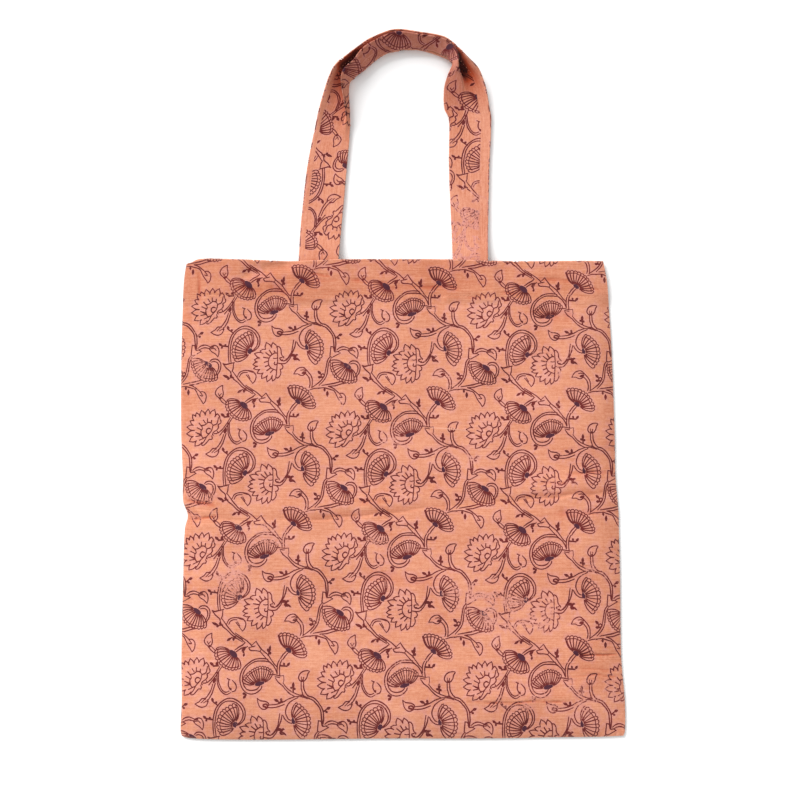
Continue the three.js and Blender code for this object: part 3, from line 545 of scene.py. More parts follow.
def round_line(points):
    """Splits a charted line at its sharp corners and rounds the rest."""
    pts = np.array(points, float)
    closed = len(pts) > 3 and np.hypot(*(pts[0] - pts[-1])) < 0.05
    runs = []
    start = 0
    for i in range(1, len(pts) - 1):
        a = pts[i] - pts[i - 1]
        b = pts[i + 1] - pts[i]
        turn = abs(math.degrees(math.atan2(a[0] * b[1] - a[1] * b[0], a[0] * b[0] + a[1] * b[1])))
        if turn > 80:
            runs.append(pts[start:i + 1])
            start = i
    runs.append(pts[start:])
    ring = closed and len(runs) == 1
    out = []
    for run in runs:
        if len(run) == 2:
            out.append(run)
            continue
        if ring:
            ext = np.vstack([run[-2], run, run[1]])
        else:
            ext = np.vstack([2 * run[0] - run[1], run, 2 * run[-1] - run[-2]])
        fine = []
        for k in range(1, len(ext) - 2):
            p0, p1, p2, p3 = ext[k - 1:k + 3]
            for t in np.arange(6) / 6.0:
                fine.append(0.5 * (2 * p1 + (p2 - p0) * t + (2 * p0 - 5 * p1 + 4 * p2 - p3) * t * t
                                   + (3 * p1 - p0 - 3 * p2 + p3) * t ** 3))
        fine.append(run[-1])
        out.append(simplify(np.array(fine), 0.115))
    return out, ring


def simplify(pts, tolerance):
    keep = np.zeros(len(pts), bool)
    keep[[0, -1]] = True
    stack = [(0, len(pts) - 1)]
    while stack:
        a, b = stack.pop()
        if b - a < 2:
            continue
        d = pts[b] - pts[a]
        size = math.hypot(*d)
        rel = pts[a + 1:b] - pts[a]
        if size < 1e-6:
            off = np.hypot(rel[:, 0], rel[:, 1])
        else:
            off = np.abs(rel[:, 0] * d[1] - rel[:, 1] * d[0]) / size
        k = int(np.argmax(off))
        if off[k] > tolerance or size < 1e-6:
            keep[a + 1 + k] = True
            stack.append((a, a + 1 + k))
            stack.append((a + 1 + k, b))
    return pts[keep]


class Chart:
    """Printed shapes of one repeat as polygons in the plane of the block."""

    def __init__(self):
        self.points = []
        self.polygons = []
        self.dark = set()      # solid spots, where more dye stood on the block
        self.rng = np.random.default_rng(SEED)

    def polygon(self, ids):
        p = np.array([self.points[i] for i in ids])
        area = np.sum(p[:, 0] * np.roll(p[:, 1], -1) - p[:, 1] * np.roll(p[:, 0], -1))
        if abs(area) > 1e-4:
            self.polygons.append(list(ids) if area > 0 else list(ids)[::-1])

    def stroke(self, pts, width, taper=(0.8, 0.8)):
        pts = np.array(pts, float)
        step = np.diff(pts, axis=0)
        size = np.hypot(step[:, 0], step[:, 1])
        way = step / np.maximum(size, 1e-6)[:, None]
        tangent = np.vstack([way[:1], way[:-1] + way[1:], way[-1:]])
        tangent /= np.maximum(np.hypot(tangent[:, 0], tangent[:, 1]), 1e-6)[:, None]
        side = np.stack([-tangent[:, 1], tangent[:, 0]], 1)
        half = 0.5 * width * (1.0 + 0.16 * self.rng.uniform(-1, 1, len(pts)))
        half[0] *= taper[0]
        half[-1] *= taper[1]
        base = len(self.points)
        for p, s, h in zip(pts, side, half):
            self.points.append(p + s * h)
            self.points.append(p - s * h)
        for k in range(len(pts) - 1):
            a = base + 2 * k
            self.polygon((a + 1, a + 3, a + 2, a))

    def line(self, points, width):
        runs, ring = round_line(points)
        for n, run in enumerate(runs):
            run = run.copy()
            if not ring:
                for end, inner in ((0, 1), (-1, -2)):
                    d = run[end] - run[inner]
                    run[end] = run[end] + d / max(math.hypot(*d), 1e-6) * 0.3 * width
            self.stroke(run, width)

    def blob(self, centre, rx, ry, turn, n=10):
        base = len(self.points)
        c, s = math.cos(turn), math.sin(turn)
        for k in range(n):
            a = 2 * math.pi * k / n
            r = 1.0 + 0.14 * self.rng.uniform(-1, 1)
            x, y = rx * r * math.cos(a), ry * r * math.sin(a)
            self.points.append(np.array([centre[0] + c * x - s * y, centre[1] + s * x + c * y]))
        self.polygon(range(base, base + n))
        self.dark.add(len(self.polygons) - 1)

    def leaflet(self, foot, tip, width):
        foot, tip = np.array(foot, float), np.array(tip, float)
        way = tip - foot
        side = np.array([-way[1], way[0]]) / max(math.hypot(*way), 1e-6)
        base = len(self.points)
        shape = [(0.0, 0.22), (0.25, 0.78), (0.5, 1.0), (0.78, 0.7), (1.0, 0.16)]
        ring = [(t, 0.5 * width * w) for t, w in shape] + [(t, -0.5 * width * w) for t, w in shape[::-1]]
        for t, w in ring:
            self.points.append(foot + way * t + side * w)
        self.polygon(range(base, base + len(ring)))

    def fan(self, hub, long, wide, turn, ribs, gap, rim_points):
        """A flower seen from the side: solid foot, curved ribs, double rim."""
        hub = np.array(hub, float)
        turn = math.radians(turn)
        along = np.array([math.cos(turn), math.sin(turn)])
        runs, _ = round_line(rim_points)
        rim = np.vstack(runs)
        walk = np.concatenate([[0], np.cumsum(np.hypot(*np.diff(rim, axis=0).T))])

        def edge(share):
            return np.array([np.interp(share * walk[-1], walk, rim[:, 0]), np.interp(share * walk[-1], walk, rim[:, 1])])

        if np.dot(edge(0.0) - hub, along) < np.dot(edge(1.0) - hub, along):
            along = -along

        def rib(share, steps, short=0.0):
            foot = hub + along * long * 0.80 * (1.0 - 2.0 * share)
            way = edge(share) - foot
            size = max(math.hypot(*way), 1e-6)
            side = np.array([-way[1], way[0]]) * 0.13 * (1.0 - 2.0 * share)
            if np.dot(np.array([-way[1], way[0]]), along) < 0:
                side = -side
            reach = 1.0 - short / size
            return [foot + way * t * reach + side * 4.0 * t * reach * (1.0 - t * reach) for t in steps]

        self.blob(hub, long, wide, turn, 12)
        self.stroke(rib(0.0, (0.06, 0.3, 0.55, 0.8, 1.0)), LINE_WIDTH)
        self.stroke(rib(1.0, (0.06, 0.3, 0.55, 0.8, 1.0)), LINE_WIDTH)
        shares = np.arange(1, ribs) / ribs
        shares = shares + 0.12 / ribs * self.rng.uniform(-1, 1, ribs - 1)
        for share in shares:
            self.stroke(rib(share, (0.13, 0.42, 0.72, 1.0)), LINE_WIDTH * (0.95 + 0.22 * self.rng.uniform(-1, 1)), (1.25, 0.8))
        inner = [rib(share, (1.0,), gap * (1.0 + 0.12 * self.rng.uniform(-1, 1)))[0] for share in np.linspace(0.05, 0.95, 12)]
        self.stroke(inner, LINE_WIDTH * 0.86)
        cuts = np.concatenate([[0.0], shares, [1.0]])
        lobes = [rim[0]]
        for s0, s1 in zip(cuts[:-1], cuts[1:]):
            out = -0.45 - 0.3 * self.rng.uniform()
            lobes += [rib(lerp(s0, s1, 0.32), (1.0,), out)[0], rib(lerp(s0, s1, 0.68), (1.0,), out)[0], rib(s1, (1.0,), 0.35)[0]]
        self.stroke(lobes[:-1] + [rim[-1]], LINE_WIDTH * 0.94)


def draw_chart():
    chart = Chart()
    for width, points in LINES:
        chart.line(points, LINE_WIDTH * width)
    for row in FANS:
        chart.fan(*row)
    for foot, tip, width in LEAFLETS:
        chart.leaflet(foot, tip, width * 1.35)
    return np.array(chart.points), chart.polygons, chart.dark


CHART_POINTS, CHART_POLYGONS, CHART_DARK = draw_chart()


def chart_shares(points):
    """Block plane to shares of one repeat to the right and down."""
    (a, b), (c, d) = REPEAT_RIGHT, REPEAT_DOWN
    det = a * d - b * c
    x, y = points[:, 0], points[:, 1]
    return (x * d - y * c) / det, (y * a - x * b) / det


def stamp_place(u, v):
    """Shares of the repeat to the plan of the cloth, as the block was set down."""
    grid = np.array(STAMP_ROWS)
    gi, gj = u + 2.0, v + 1.0
    i = np.clip(np.floor(gi).astype(int), 0, 2)
    j = np.clip(np.floor(gj).astype(int), 0, 2)
    fi, fj = (gi - i)[:, None], (gj - j)[:, None]
    low = lerp(grid[j, i], grid[j, i + 1], fi)
    high = lerp(grid[j + 1, i], grid[j + 1, i + 1], fi)
    return lerp(low, high, fj)


def print_polygons(place, tiles, keep):
    """Printed polygons of all tiles that fall on a cloth."""
    u, v = chart_shares(CHART_POINTS)
    points, polygons, dark = [], [], []
    base = 0
    for i, j in tiles:
        p = place(u + i, v + j)
        inside = keep(p)
        if not inside.any():
            continue
        used = {}
        picked = []
        for n, poly in enumerate(CHART_POLYGONS):
            if inside[poly].any():
                ids = []
                for k in poly:
                    if k not in used:
                        used[k] = base + len(picked)
                        picked.append(p[k])
                    ids.append(used[k])
                polygons.append(ids)
                if n in CHART_DARK:
                    dark.append(ids)
        points.extend(picked)
        base += len(picked)
    return points, polygons, dark


def used_only(points, polygons, dark):
    """Drops the points that no polygon uses; the dark ones are among the polygons."""
    index = {}
    kept = []
    out = []
    for poly in polygons:
        ids = []
        for k in poly:
            if k not in index:
                index[k] = len(kept)
                kept.append(points[k])
            ids.append(index[k])
        out.append(ids)
    return kept, out, [[index[k] for k in poly] for poly in dark]


# ------------------------------------------------------------------- meshing

def covered(spots, points, polygons, cell=3.0):
    """Which spots lie on a printed polygon."""
    hit = np.zeros(len(spots), bool)
    if not polygons:
        return hit
    at = np.array(points)
    corners = np.array([(poly[0], poly[k], poly[k + 1]) for poly in polygons for k in range(1, len(poly) - 1)])
    tri = at[corners]
    low = np.floor(tri.min(1) / cell).astype(np.int64)
    high = np.floor(tri.max(1) / cell).astype(np.int64)
    cells, owners = [], []
    for dx in range(int((high - low)[:, 0].max()) + 1):
        for dy in range(int((high - low)[:, 1].max()) + 1):
            use = (low[:, 0] + dx <= high[:, 0]) & (low[:, 1] + dy <= high[:, 1])
            cells.append((low[use, 0] + dx + 4096) * 8192 + low[use, 1] + dy + 4096)
            owners.append(np.flatnonzero(use))
    cells, owners = np.concatenate(cells), np.concatenate(owners)
    order = np.argsort(cells, kind="stable")
    cells, owners = cells[order], owners[order]
    home = np.floor(spots / cell).astype(np.int64)
    home = (home[:, 0] + 4096) * 8192 + home[:, 1] + 4096
    first = np.searchsorted(cells, home, "left")
    last = np.searchsorted(cells, home, "right")
    for k in range(int((last - first).max())):
        use = np.flatnonzero((first + k < last) & ~hit)
        if not len(use):
            break
        t = tri[owners[first[use] + k]]
        p = spots[use]
        sides = []
        for a, b in ((0, 1), (1, 2), (2, 0)):
            d = t[:, b] - t[:, a]
            e = p - t[:, a]
            sides.append(d[:, 0] * e[:, 1] - d[:, 1] * e[:, 0])
        sides = np.array(sides)
        hit[use] |= (sides >= 0).all(0) | (sides <= 0).all(0)
    return hit


def triangulate(outline, printed, bare, extra, lines=()):
    """Flat triangles inside an outline, with the print cut into them.

    Gives the points, the triangles and each triangle's ink: 1 printed,
    2 printed solid, 0 plain, -1 kept bare by a wrinkle."""
    points = [tuple(p) for p in outline]
    edges = []
    for pts, polys in (printed[:2], bare):
        base = len(points)
        points.extend(tuple(p) for p in pts)
        for poly in polys:
            edges.extend((base + a, base + b) for a, b in zip(poly, poly[1:] + poly[:1]))
    for line in lines:
        base = len(points)
        points.extend(line)
        edges.extend((base + k, base + k + 1) for k in range(len(line) - 1))
    edges = list({(min(e), max(e)) for e in edges})
    edges.sort()
    points.extend(tuple(p) for p in extra)
    out = delaunay_2d_cdt([Vector(p) for p in points], edges, [list(range(len(outline)))], 0, 1e-4, True)
    flat = np.array([(p.x, p.y) for p in out[0]])
    tris = np.array([tri[:] for tri, ids in zip(out[2], out[5]) if 0 in ids])
    spots = flat[tris].mean(1)
    ink = covered(spots, *printed[:2]).astype(float)
    if len(printed) > 2:
        ink[covered(spots, printed[0], printed[2])] = 2.0
    ink[covered(spots, *bare)] = -1.0
    used = np.unique(tris)
    index = np.full(len(flat), -1)
    index[used] = np.arange(len(used))
    flat = flat[used]
    tris = index[tris]
    a, b, c = flat[tris[:, 0]], flat[tris[:, 1]], flat[tris[:, 2]]
    area = (b[:, 0] - a[:, 0]) * (c[:, 1] - a[:, 1]) - (b[:, 1] - a[:, 1]) * (c[:, 0] - a[:, 0])
    flip = area < 0
    tris[flip] = tris[flip][:, ::-1]
    return flat, tris, ink


def border_loop(tris):
    """The closed border of a flat triangulation, in its own turning sense."""
    edges = np.vstack([tris[:, [0, 1]], tris[:, [1, 2]], tris[:, [2, 0]]])
    key = edges.min(1).astype(np.int64) * (edges.max() + 1) + edges.max(1)
    _, first, count = np.unique(key, return_index=True, return_counts=True)
    follow = {int(edges[k, 0]): int(edges[k, 1]) for k in first[count == 1]}
    start = next(iter(follow))
    loop = [start]
    while follow[loop[-1]] != start:
        loop.append(follow[loop[-1]])
    return loop


def offset_rows(p0, p1, offsets, step):
    """Points in rows beside a line."""
    p0, p1 = np.array(p0, float), np.array(p1, float)
    way = p1 - p0
    size = math.hypot(*way)
    way /= size
    side = np.array([-way[1], way[0]])
    t = np.arange(0, size + step / 2, step)
    return [tuple(p0 + way * k + side * o) for o in offsets for k in t]


class Cloth:
    """Collects a cloth's mesh: points, normals, triangles and what is on them."""

    def __init__(self):
        self.points, self.normals, self.wear, self.worn_edge, self.dense, self.fold = [], [], [], [], [], []
        self.tris, self.flat, self.uv, self.ink = [], [], [], []
        self.count = 0

    def add_points(self, points, normals, wear, edge, dense=None, fold=None):
        base = self.count
        self.fold.append(np.zeros(len(points)) if fold is None else fold)
        self.dense.append(np.zeros(len(points)) if dense is None else dense)
        self.points.append(points)
        self.normals.append(normals)
        self.wear.append(wear)
        self.worn_edge.append(edge)
        self.count += len(points)
        return base

    def add_tris(self, tris, flat, uv, ink):
        self.tris.append(tris)
        self.flat.append(flat)
        self.uv.append(uv)
        self.ink.append(ink)

    def make(self, name, material):
        points = np.vstack(self.points).astype(np.float32)
        points[:, 0] += PLAN_SHIFT[0]
        points[:, 1] += PLAN_SHIFT[1]
        points *= 0.001
        tris = np.vstack(self.tris)
        flat = np.concatenate(self.flat).reshape(-1, 2)
        uv = np.concatenate(self.uv).reshape(-1, 2)
        ink = np.concatenate(self.ink)
        mesh = bpy.data.meshes.new(name)
        mesh.vertices.add(len(points))
        mesh.vertices.foreach_set("co", points.ravel())
        mesh.loops.add(len(tris) * 3)
        mesh.loops.foreach_set("vertex_index", tris.astype(np.int32).ravel())
        mesh.polygons.add(len(tris))
        mesh.polygons.foreach_set("loop_start", np.arange(0, len(tris) * 3, 3, dtype=np.int32))
        mesh.polygons.foreach_set("use_smooth", np.ones(len(tris), bool))
        mesh.update(calc_edges=True)
        mesh.validate()
        layer = mesh.uv_layers.new(name="OFBake")
        layer.data.foreach_set("uv", uv.astype(np.float32).ravel())
        at = mesh.attributes.new("flat", "FLOAT_VECTOR", "CORNER")
        at.data.foreach_set("vector", np.hstack([flat, np.zeros((len(flat), 1))]).astype(np.float32).ravel())
        at = mesh.attributes.new("ink", "FLOAT", "FACE")
        at.data.foreach_set("value", ink.astype(np.float32))
        at = mesh.attributes.new("pale", "FLOAT", "POINT")
        at.data.foreach_set("value", np.concatenate(self.wear).astype(np.float32))
        at = mesh.attributes.new("edge", "FLOAT", "POINT")
        at.data.foreach_set("value", np.concatenate(self.worn_edge).astype(np.float32))
        at = mesh.attributes.new("dense", "FLOAT", "POINT")
        at.data.foreach_set("value", np.concatenate(self.dense).astype(np.float32))
        at = mesh.attributes.new("fold", "FLOAT", "POINT")
        at.data.foreach_set("value", np.concatenate(self.fold).astype(np.float32))
        soak = np.zeros(len(points), np.float32)
        soak[np.unique(tris[ink > 0.5])] = 1.0
        at = mesh.attributes.new("soak", "FLOAT", "POINT")
        at.data.foreach_set("value", soak)
        normals = np.vstack(self.normals)
        normals /= np.maximum(np.linalg.norm(normals, axis=1), 1e-9)[:, None]
        mesh.normals_split_custom_set_from_vertices([tuple(n) for n in normals])
        mesh.materials.append(material)
        obj = bpy.data.objects.new(name, mesh)
        bpy.context.scene.collection.objects.link(obj)
        return obj


def slopes(place, flat, e=0.25):
    """Normals of a surface given over the flat cloth."""
    dx = place(flat + (e, 0.0)) - place(flat - (e, 0.0))
    dy = place(flat + (0.0, e)) - place(flat - (0.0, e))
    n = np.cross(dx, dy)
    return n / np.maximum(np.linalg.norm(n, axis=1), 1e-9)[:, None]


# -------------------------------------------------------------------- panels

def panel_outline(step=3.5):
    """Flat outline of a panel with its hem opened out, counter-clockwise."""
    x_left = float(left_seam(420.0))
    x_right = float(right_seam(420.0))
    turn = math.pi * HEM_TURN
    length = HEM_DEPTH - HEM_TURN + turn
    points = []
    for x in np.linspace(-187.0, 191.0, 110)[:-1]:
        points.append((x, float(bottom_seam(x))))
    for y in np.linspace(0.6, 420.0, 120)[:-1]:
        x = float(right_seam(y))
        points.append((x, max(y, float(bottom_seam(x)))))
    top = [(x, float(mouth_edge(x)) - HEM_TURN + length) for x in np.linspace(x_right, x_left, 80)]
    points.append((x_right, float(mouth_edge(x_right)) - HEM_TURN))
    points.extend((x_right, float(mouth_edge(x_right)) - HEM_TURN + d) for d in (0.5, 1.0, 1.57, 2.1, 2.7, turn, 8, 14, 20, 26))
    points.extend(top)
    points.extend((x_left, float(mouth_edge(x_left)) - HEM_TURN + d) for d in (26, 20, 14, 8, turn, 2.7, 2.1, 1.57, 1.0, 0.5))
    points.append((x_left, float(mouth_edge(x_left)) - HEM_TURN))
    for y in np.linspace(420.0, 1.0, 120)[1:]:
        x = float(left_seam(y))
        points.append((x, max(y, float(bottom_seam(x)))))
    clean = [points[0]]
    for p in points[1:]:
        if math.hypot(p[0] - clean[-1][0], p[1] - clean[-1][1]) > 0.3:
            clean.append(p)
    return clean


def panel_place(face, sign, depth):
    """Places the opened-out panel in space.

    face gives the height of the printed face, sign is the way that it looks
    (1 up, -1 down), and depth is how far below the printed face to go."""
    r = HEM_TURN

    def place(flat):
        x, yf = flat[:, 0], flat[:, 1]
        m = mouth_edge(x)
        s = yf - (m - r)
        body = s <= 0
        turn = (s > 0) & (s <= math.pi * r)
        phi = np.clip(s / r, 0, math.pi)
        y_in = m - r - np.maximum(s - math.pi * r, 0.0)
        y = np.where(body, yf, np.where(turn, m - r + (r - depth) * np.sin(phi), y_in))
        # the turned-in hem keeps just inside the side seams
        share = (x - left_seam(m)) / (right_seam(m) - left_seam(m))
        inset = 0.8 * smooth(s / 3.0)
        x_in = lerp(left_seam(y) + inset, right_seam(y) - inset, share)
        px = np.where(body, x, lerp(x, x_in, smooth(s / 3.0)))
        z0 = face(px, y)
        drop = np.where(body, depth, np.where(turn, r - (r - depth) * np.cos(phi), 2 * r - depth))
        return np.stack([px, y, z0 - sign * drop], 1)
    return place


def panel_grid(step, hem_step):
    """Points inside the outline: an even grid, closer along edges and folds."""
    rng = np.random.default_rng(SEED + 5)
    points = []
    for n, y in enumerate(np.arange(2.0, 452.0, step)):
        for x in np.arange(-196.0 + (step / 2 if n % 2 else 0), 196.0, step):
            points.append((x, y))
    points = np.array(points) + rng.uniform(-0.2, 0.2, (len(points), 2)) * step
    body = points[:, 1] < mouth_edge(points[:, 0]) - 2.5
    hem = points[:, 1] > mouth_edge(points[:, 0]) + 3.0
    hem &= (np.floor(points[:, 0] / hem_step) % 2) == 0
    points = points[body | hem]
    extra = [tuple(p) for p in points]
    for y in np.arange(4.0, 416.0, 3.0):
        for d in (0.5, 1.1, 1.8, 2.8):
            extra.append((float(left_seam(y)) + d, y))
            extra.append((float(right_seam(y)) - d, y))
    for x in np.arange(-184.0, 187.0, 3.0):
        for d in (0.5, 1.1, 1.8, 2.8):
            extra.append((x, float(bottom_seam(x)) + d))
        for d in (-1.8, -1.0, -0.5, 0.0, 0.4, 0.8, 1.2, 1.6, 2.1):
            extra.append((x, float(mouth_edge(x)) - HEM_TURN + 1.0 + d))
    return extra


def fold_rows():
    """Closer points along the sharp folds and the hem's stitching."""
    extra = []
    for x in np.arange(-186.0, 189.0, 3.0):
        for d in (-2.6, -1.7, -0.9, -0.2, 0.6, 1.4, 2.4):
            extra.append((x, float(crease_foot(x)) - 0.6 + d))
    for x in np.arange(-185.0, 181.0, 2.0):
        for d in (-1.7, -0.8, 0.0, 0.8, 1.7):
            extra.append((x, float(mouth_edge(x)) - HEM_DEPTH + d))
    for row in WRINKLE_ROWS:
        if row[5] < 4.5:
            w = row[5]
            extra.extend(offset_rows(row[:2], row[2:4], (-w, -w * 0.5, 0, w * 0.5, w), 3.6))
    return extra


def reverse_rows():
    """Closer points for the reverse of the cloth under the deeper folds."""
    extra = []
    for x in np.arange(-186.0, 189.0, 4.5):
        for d in (-3.0, -1.2, 0.4, 2.0, 4.0, 6.0, 8.5, 12.0, 17.0):
            extra.append((x, float(crease_foot(x)) + d))
    for row in FOLD_ROWS[:2]:
        w = row[5]
        extra.extend(offset_rows(row[:2], row[2:4], (-w, -w * 0.66, -w * 0.33, 0, w * 0.33, w * 0.66, w), 3.0))
    return extra


def inside_outline(points):
    x, y = points[:, 0], points[:, 1]
    m = mouth_edge(x)
    yy = np.minimum(y, m)
    return ((x > left_seam(yy) + 0.25) & (x < right_seam(yy) - 0.25)
            & (y > bottom_seam(x) + 0.25) & (y < m + HEM_DEPTH + HEM_TURN * 1.1 - 0.4))


def pale_share(x, y):
    total = np.zeros_like(x)
    for px, py, rx, ry, share in PALE_ROWS:
        total = np.maximum(total, share * smooth(1.25 - np.hypot((x - px) / rx, (y - py) / ry) * 0.85))
    rough = 0.20 * noise(x / 11, y / 9, SEED + 14) + 0.14 * noise(x / 37, y / 33, SEED + 15)
    return clamp(total + rough)


def make_panel(name, face, sign, tiles, place_print, fine, material):
    outline = panel_outline()
    low_x, low_y = -200.0, -4.0
    reach_y = 462.0

    def keep(p):
        return (p[:, 0] > low_x) & (p[:, 0] < 200.0) & (p[:, 1] > low_y) & (p[:, 1] < reach_y)

    printed = print_polygons(place_print, tiles, keep)
    bare = ([], [])
    if sign > 0:
        chart = Chart()
        for pts, width in BARE_ROWS:
            chart.stroke(simplify(np.array(pts, float), 0.02), width, (0.3, 0.3))
        bare = (chart.points, chart.polygons)
    extra = np.array(panel_grid(4.4 if fine else 7.0, 6.0) + (fold_rows() if fine else []))
    extra = extra[inside_outline(extra)]
    flat, tris, ink = triangulate(outline, printed, bare, extra)
    cloth = Cloth()

    outer = panel_place(face, sign, 0.0)
    inner = panel_place(face, sign, THREAD_SHEET)
    xs, ys = flat[:, 0], flat[:, 1]
    m = mouth_edge(xs)
    at_y = np.minimum(ys, m)
    rim = np.minimum(np.minimum(xs - left_seam(at_y), right_seam(at_y) - xs), ys - bottom_seam(xs))
    edge = np.maximum(1.0 - smooth(np.abs(ys - m) / 2.2), 0.7 * (1.0 - smooth(rim / 2.0)))
    pale = pale_share(xs, ys) if sign > 0 else 0.3 + 0 * xs
    # where the cloth lies double it looks a little deeper; the same value also paints shade on the hem and over the
    # lower right of the panel
    dense = np.maximum(smooth((ys - m + HEM_DEPTH + 9.0) / 14.0) * (1.0 - 0.45 * smooth((xs - 50.0) / 70.0)),
                       0.45 * smooth((10.0 - np.minimum(xs - left_seam(at_y), right_seam(at_y) - xs)) / 2.5))
    # painted shade over the lower right of the panel
    dense = np.maximum(dense, 0.30 * smooth((xs - 20.0) / 150.0) * smooth((300.0 - ys) / 200.0))
    # painted shade in the valleys of the wrinkles and along the foot of the storage crease
    fold = 0 * xs
    if fine:
        fold = 0.70 * clamp(-wrinkle_sum(xs, ys, WRINKLE_ROWS) / 0.50)
        fold = fold + 0.30 * crease_left(xs) * smooth(1.0 - np.abs(ys - crease_foot(xs) - 1.6) / 4.4)
    base = cloth.add_points(outer(flat), slopes(outer, flat) * sign, pale, edge, dense, fold)
    uv = np.stack([(xs + 200.0) / 480.0, (ys + 4.0) / 480.0], 1)
    order = tris if sign > 0 else tris[:, ::-1]
    cloth.add_tris(order + base, flat[order], uv[order], ink)

    # the reverse of the cloth: the same border, a coarser middle, no print
    loop = border_loop(tris)
    ring = flat[loop]
    back_extra = np.array(panel_grid(9.0, 9.0) + (reverse_rows() if fine else []))
    back_extra = back_extra[inside_outline(back_extra)]
    flat_b, tris_b, _ = triangulate(ring, ([], []), ([], []), back_extra)
    base_b = cloth.add_points(inner(flat_b), -slopes(inner, flat_b) * sign, np.ones(len(flat_b)),
                              np.zeros(len(flat_b)))
    uv_b = np.stack([0.86 + (flat_b[:, 0] + 200.0) / 3200.0, (flat_b[:, 1] + 4.0) / 3200.0], 1)
    order_b = tris_b[:, ::-1] if sign > 0 else tris_b
    cloth.add_tris(order_b + base_b, flat_b[order_b], uv_b[order_b], np.zeros(len(tris_b)))

    # the border strip between the two faces
    match = [int(np.argmin((flat_b[:, 0] - p[0]) ** 2 + (flat_b[:, 1] - p[1]) ** 2)) for p in ring]
    quads, flats = [], []
    n = len(loop)
    for k in range(n):
        a, b = loop[k], loop[(k + 1) % n]
        c, d = match[(k + 1) % n], match[k]
        pair = ((a + base, c + base_b, b + base), (a + base, d + base_b, c + base_b))
        where = ((flat[a], flat_b[c], flat[b]), (flat[a], flat_b[d], flat_b[c]))
        for t, w in zip(pair, where):
            quads.append(t if sign > 0 else t[::-1])
            flats.append(w if sign > 0 else w[::-1])
    flats = np.array(flats)
    uv_r = np.stack([0.86 + (flats[..., 0] + 200.0) / 3200.0, 0.5 + (flats[..., 1] + 4.0) / 3200.0], -1)
    cloth.add_tris(np.array(quads), flats, uv_r, np.zeros(len(quads)))
    return cloth.make(name, material), outer


# -------------------------------------------------------------------- straps

def spline(rows, t):
    """Catmull-Rom through rows (n, k) at t from 0 to 1."""
    ext = np.vstack([2 * rows[0] - rows[1], rows, 2 * rows[-1] - rows[-2]])
    n = len(rows)
    p = np.clip(t, 0, 1) * (n - 1)
    i = np.minimum(np.floor(p).astype(int), n - 2)
    w = (p - i)[:, None]
    p0, p1, p2, p3 = ext[i], ext[i + 1], ext[i + 2], ext[i + 3]
    t0, t1 = 0.5 * (p2 - p0), 0.5 * (p3 - p1)
    return p1 + t0 * w + (3 * (p2 - p1) - 2 * t0 - t1) * w * w + (2 * (p1 - p2) + t0 + t1) * w ** 3


def lifted(point, z):
    """A point raised to z along the line of sight, so that the outline stays."""
    share = (EYE[2] - z) / (EYE[2] - point[2])
    return np.array([EYE[0] + (point[0] - EYE[0]) * share, EYE[1] + (point[1] - EYE[1]) * share, z])


def front_lines():
    lines = [[], [], [], []]
    for row, rim in zip(FRONT_HANDLE_ROWS, FRONT_RIM_LIFTS):
        ox, oy, ix, iy, crest, under, base, lift, tip = row
        across = np.array([ix - ox, iy - oy, 0.0])
        unit = across / np.linalg.norm(across)
        outer = np.array([ox, oy, base])
        top = outer + across * crest
        foot = top + unit * under
        lines[0].append(lifted(outer, base + rim))
        lines[1].append(np.array([foot[0], foot[1], base + lift * 2 * max(0, -under) / STRAP_WIDTH]))
        lines[2].append(lifted(top, base + lift))
        lines[3].append(np.array([ix, iy, base + tip]))
    return [np.array(line) for line in lines]


def back_lines():
    lines = [[], [], [], []]
    for ox, oy, ix, iy, base in BACK_HANDLE_ROWS:
        across = np.array([ix - ox, iy - oy, 0.0])
        width = np.linalg.norm(across)
        unit = across / width
        turned = min(max(0.0, STRAP_WIDTH - width - 4.0), width - 1.0)
        step = np.array([0, 0, TURNED_LAYER * min(1.0, turned / SMALL_TURN)])
        outer = np.array([ox, oy, base])
        lower = outer + unit * (width if turned > 0 else width * 0.6)
        upper = (lower if turned > 0 else outer + unit * width * 0.8) + step
        inner = upper - unit * turned if turned > 0 else outer + unit * width
        lines[0].append(outer)
        lines[1].append(lower)
        lines[2].append(upper)
        lines[3].append(inner)
    return [np.array(line) for line in lines]


def band_middle(lines, t, a):
    """Middle surface of a strap: t along it, a across it from its outer edge."""
    o, f, c, i = [spline(line, t) for line in lines]
    wall, floor = lerp(o, f, 0.45), lerp(o, f, 0.86)
    wall[:, 2] = lerp(o[:, 2], f[:, 2], np.where(o[:, 2] > f[:, 2], 0.80, 0.45))
    floor[:, 2] = lerp(o[:, 2], f[:, 2], np.where(o[:, 2] > f[:, 2], 0.98, 0.86))
    ctrl = np.stack([o, wall, floor, f, lerp(f, c, 0.25), lerp(f, c, 0.78), c,
                     lerp(c, i, 0.13), lerp(c, i, 0.55), i], 1)
    ext = np.concatenate([2 * ctrl[:, :1] - ctrl[:, 1:2], ctrl, 2 * ctrl[:, -1:] - ctrl[:, -2:-1]], 1)
    p = np.clip(a, 0, 1) * 9
    k = np.minimum(np.floor(p).astype(int), 8)
    w = (p - k)[:, None]
    r = np.arange(len(t))
    p0, p1, p2, p3 = ext[r, k], ext[r, k + 1], ext[r, k + 2], ext[r, k + 3]
    t0, t1 = 0.5 * (p2 - p0), 0.5 * (p3 - p1)
    out = p1 + t0 * w + (3 * (p2 - p1) - 2 * t0 - t1) * w * w + (2 * (p1 - p2) + t0 + t1) * w ** 3
    out[:, 2] = np.maximum(out[:, 2], 0.8)
    return out


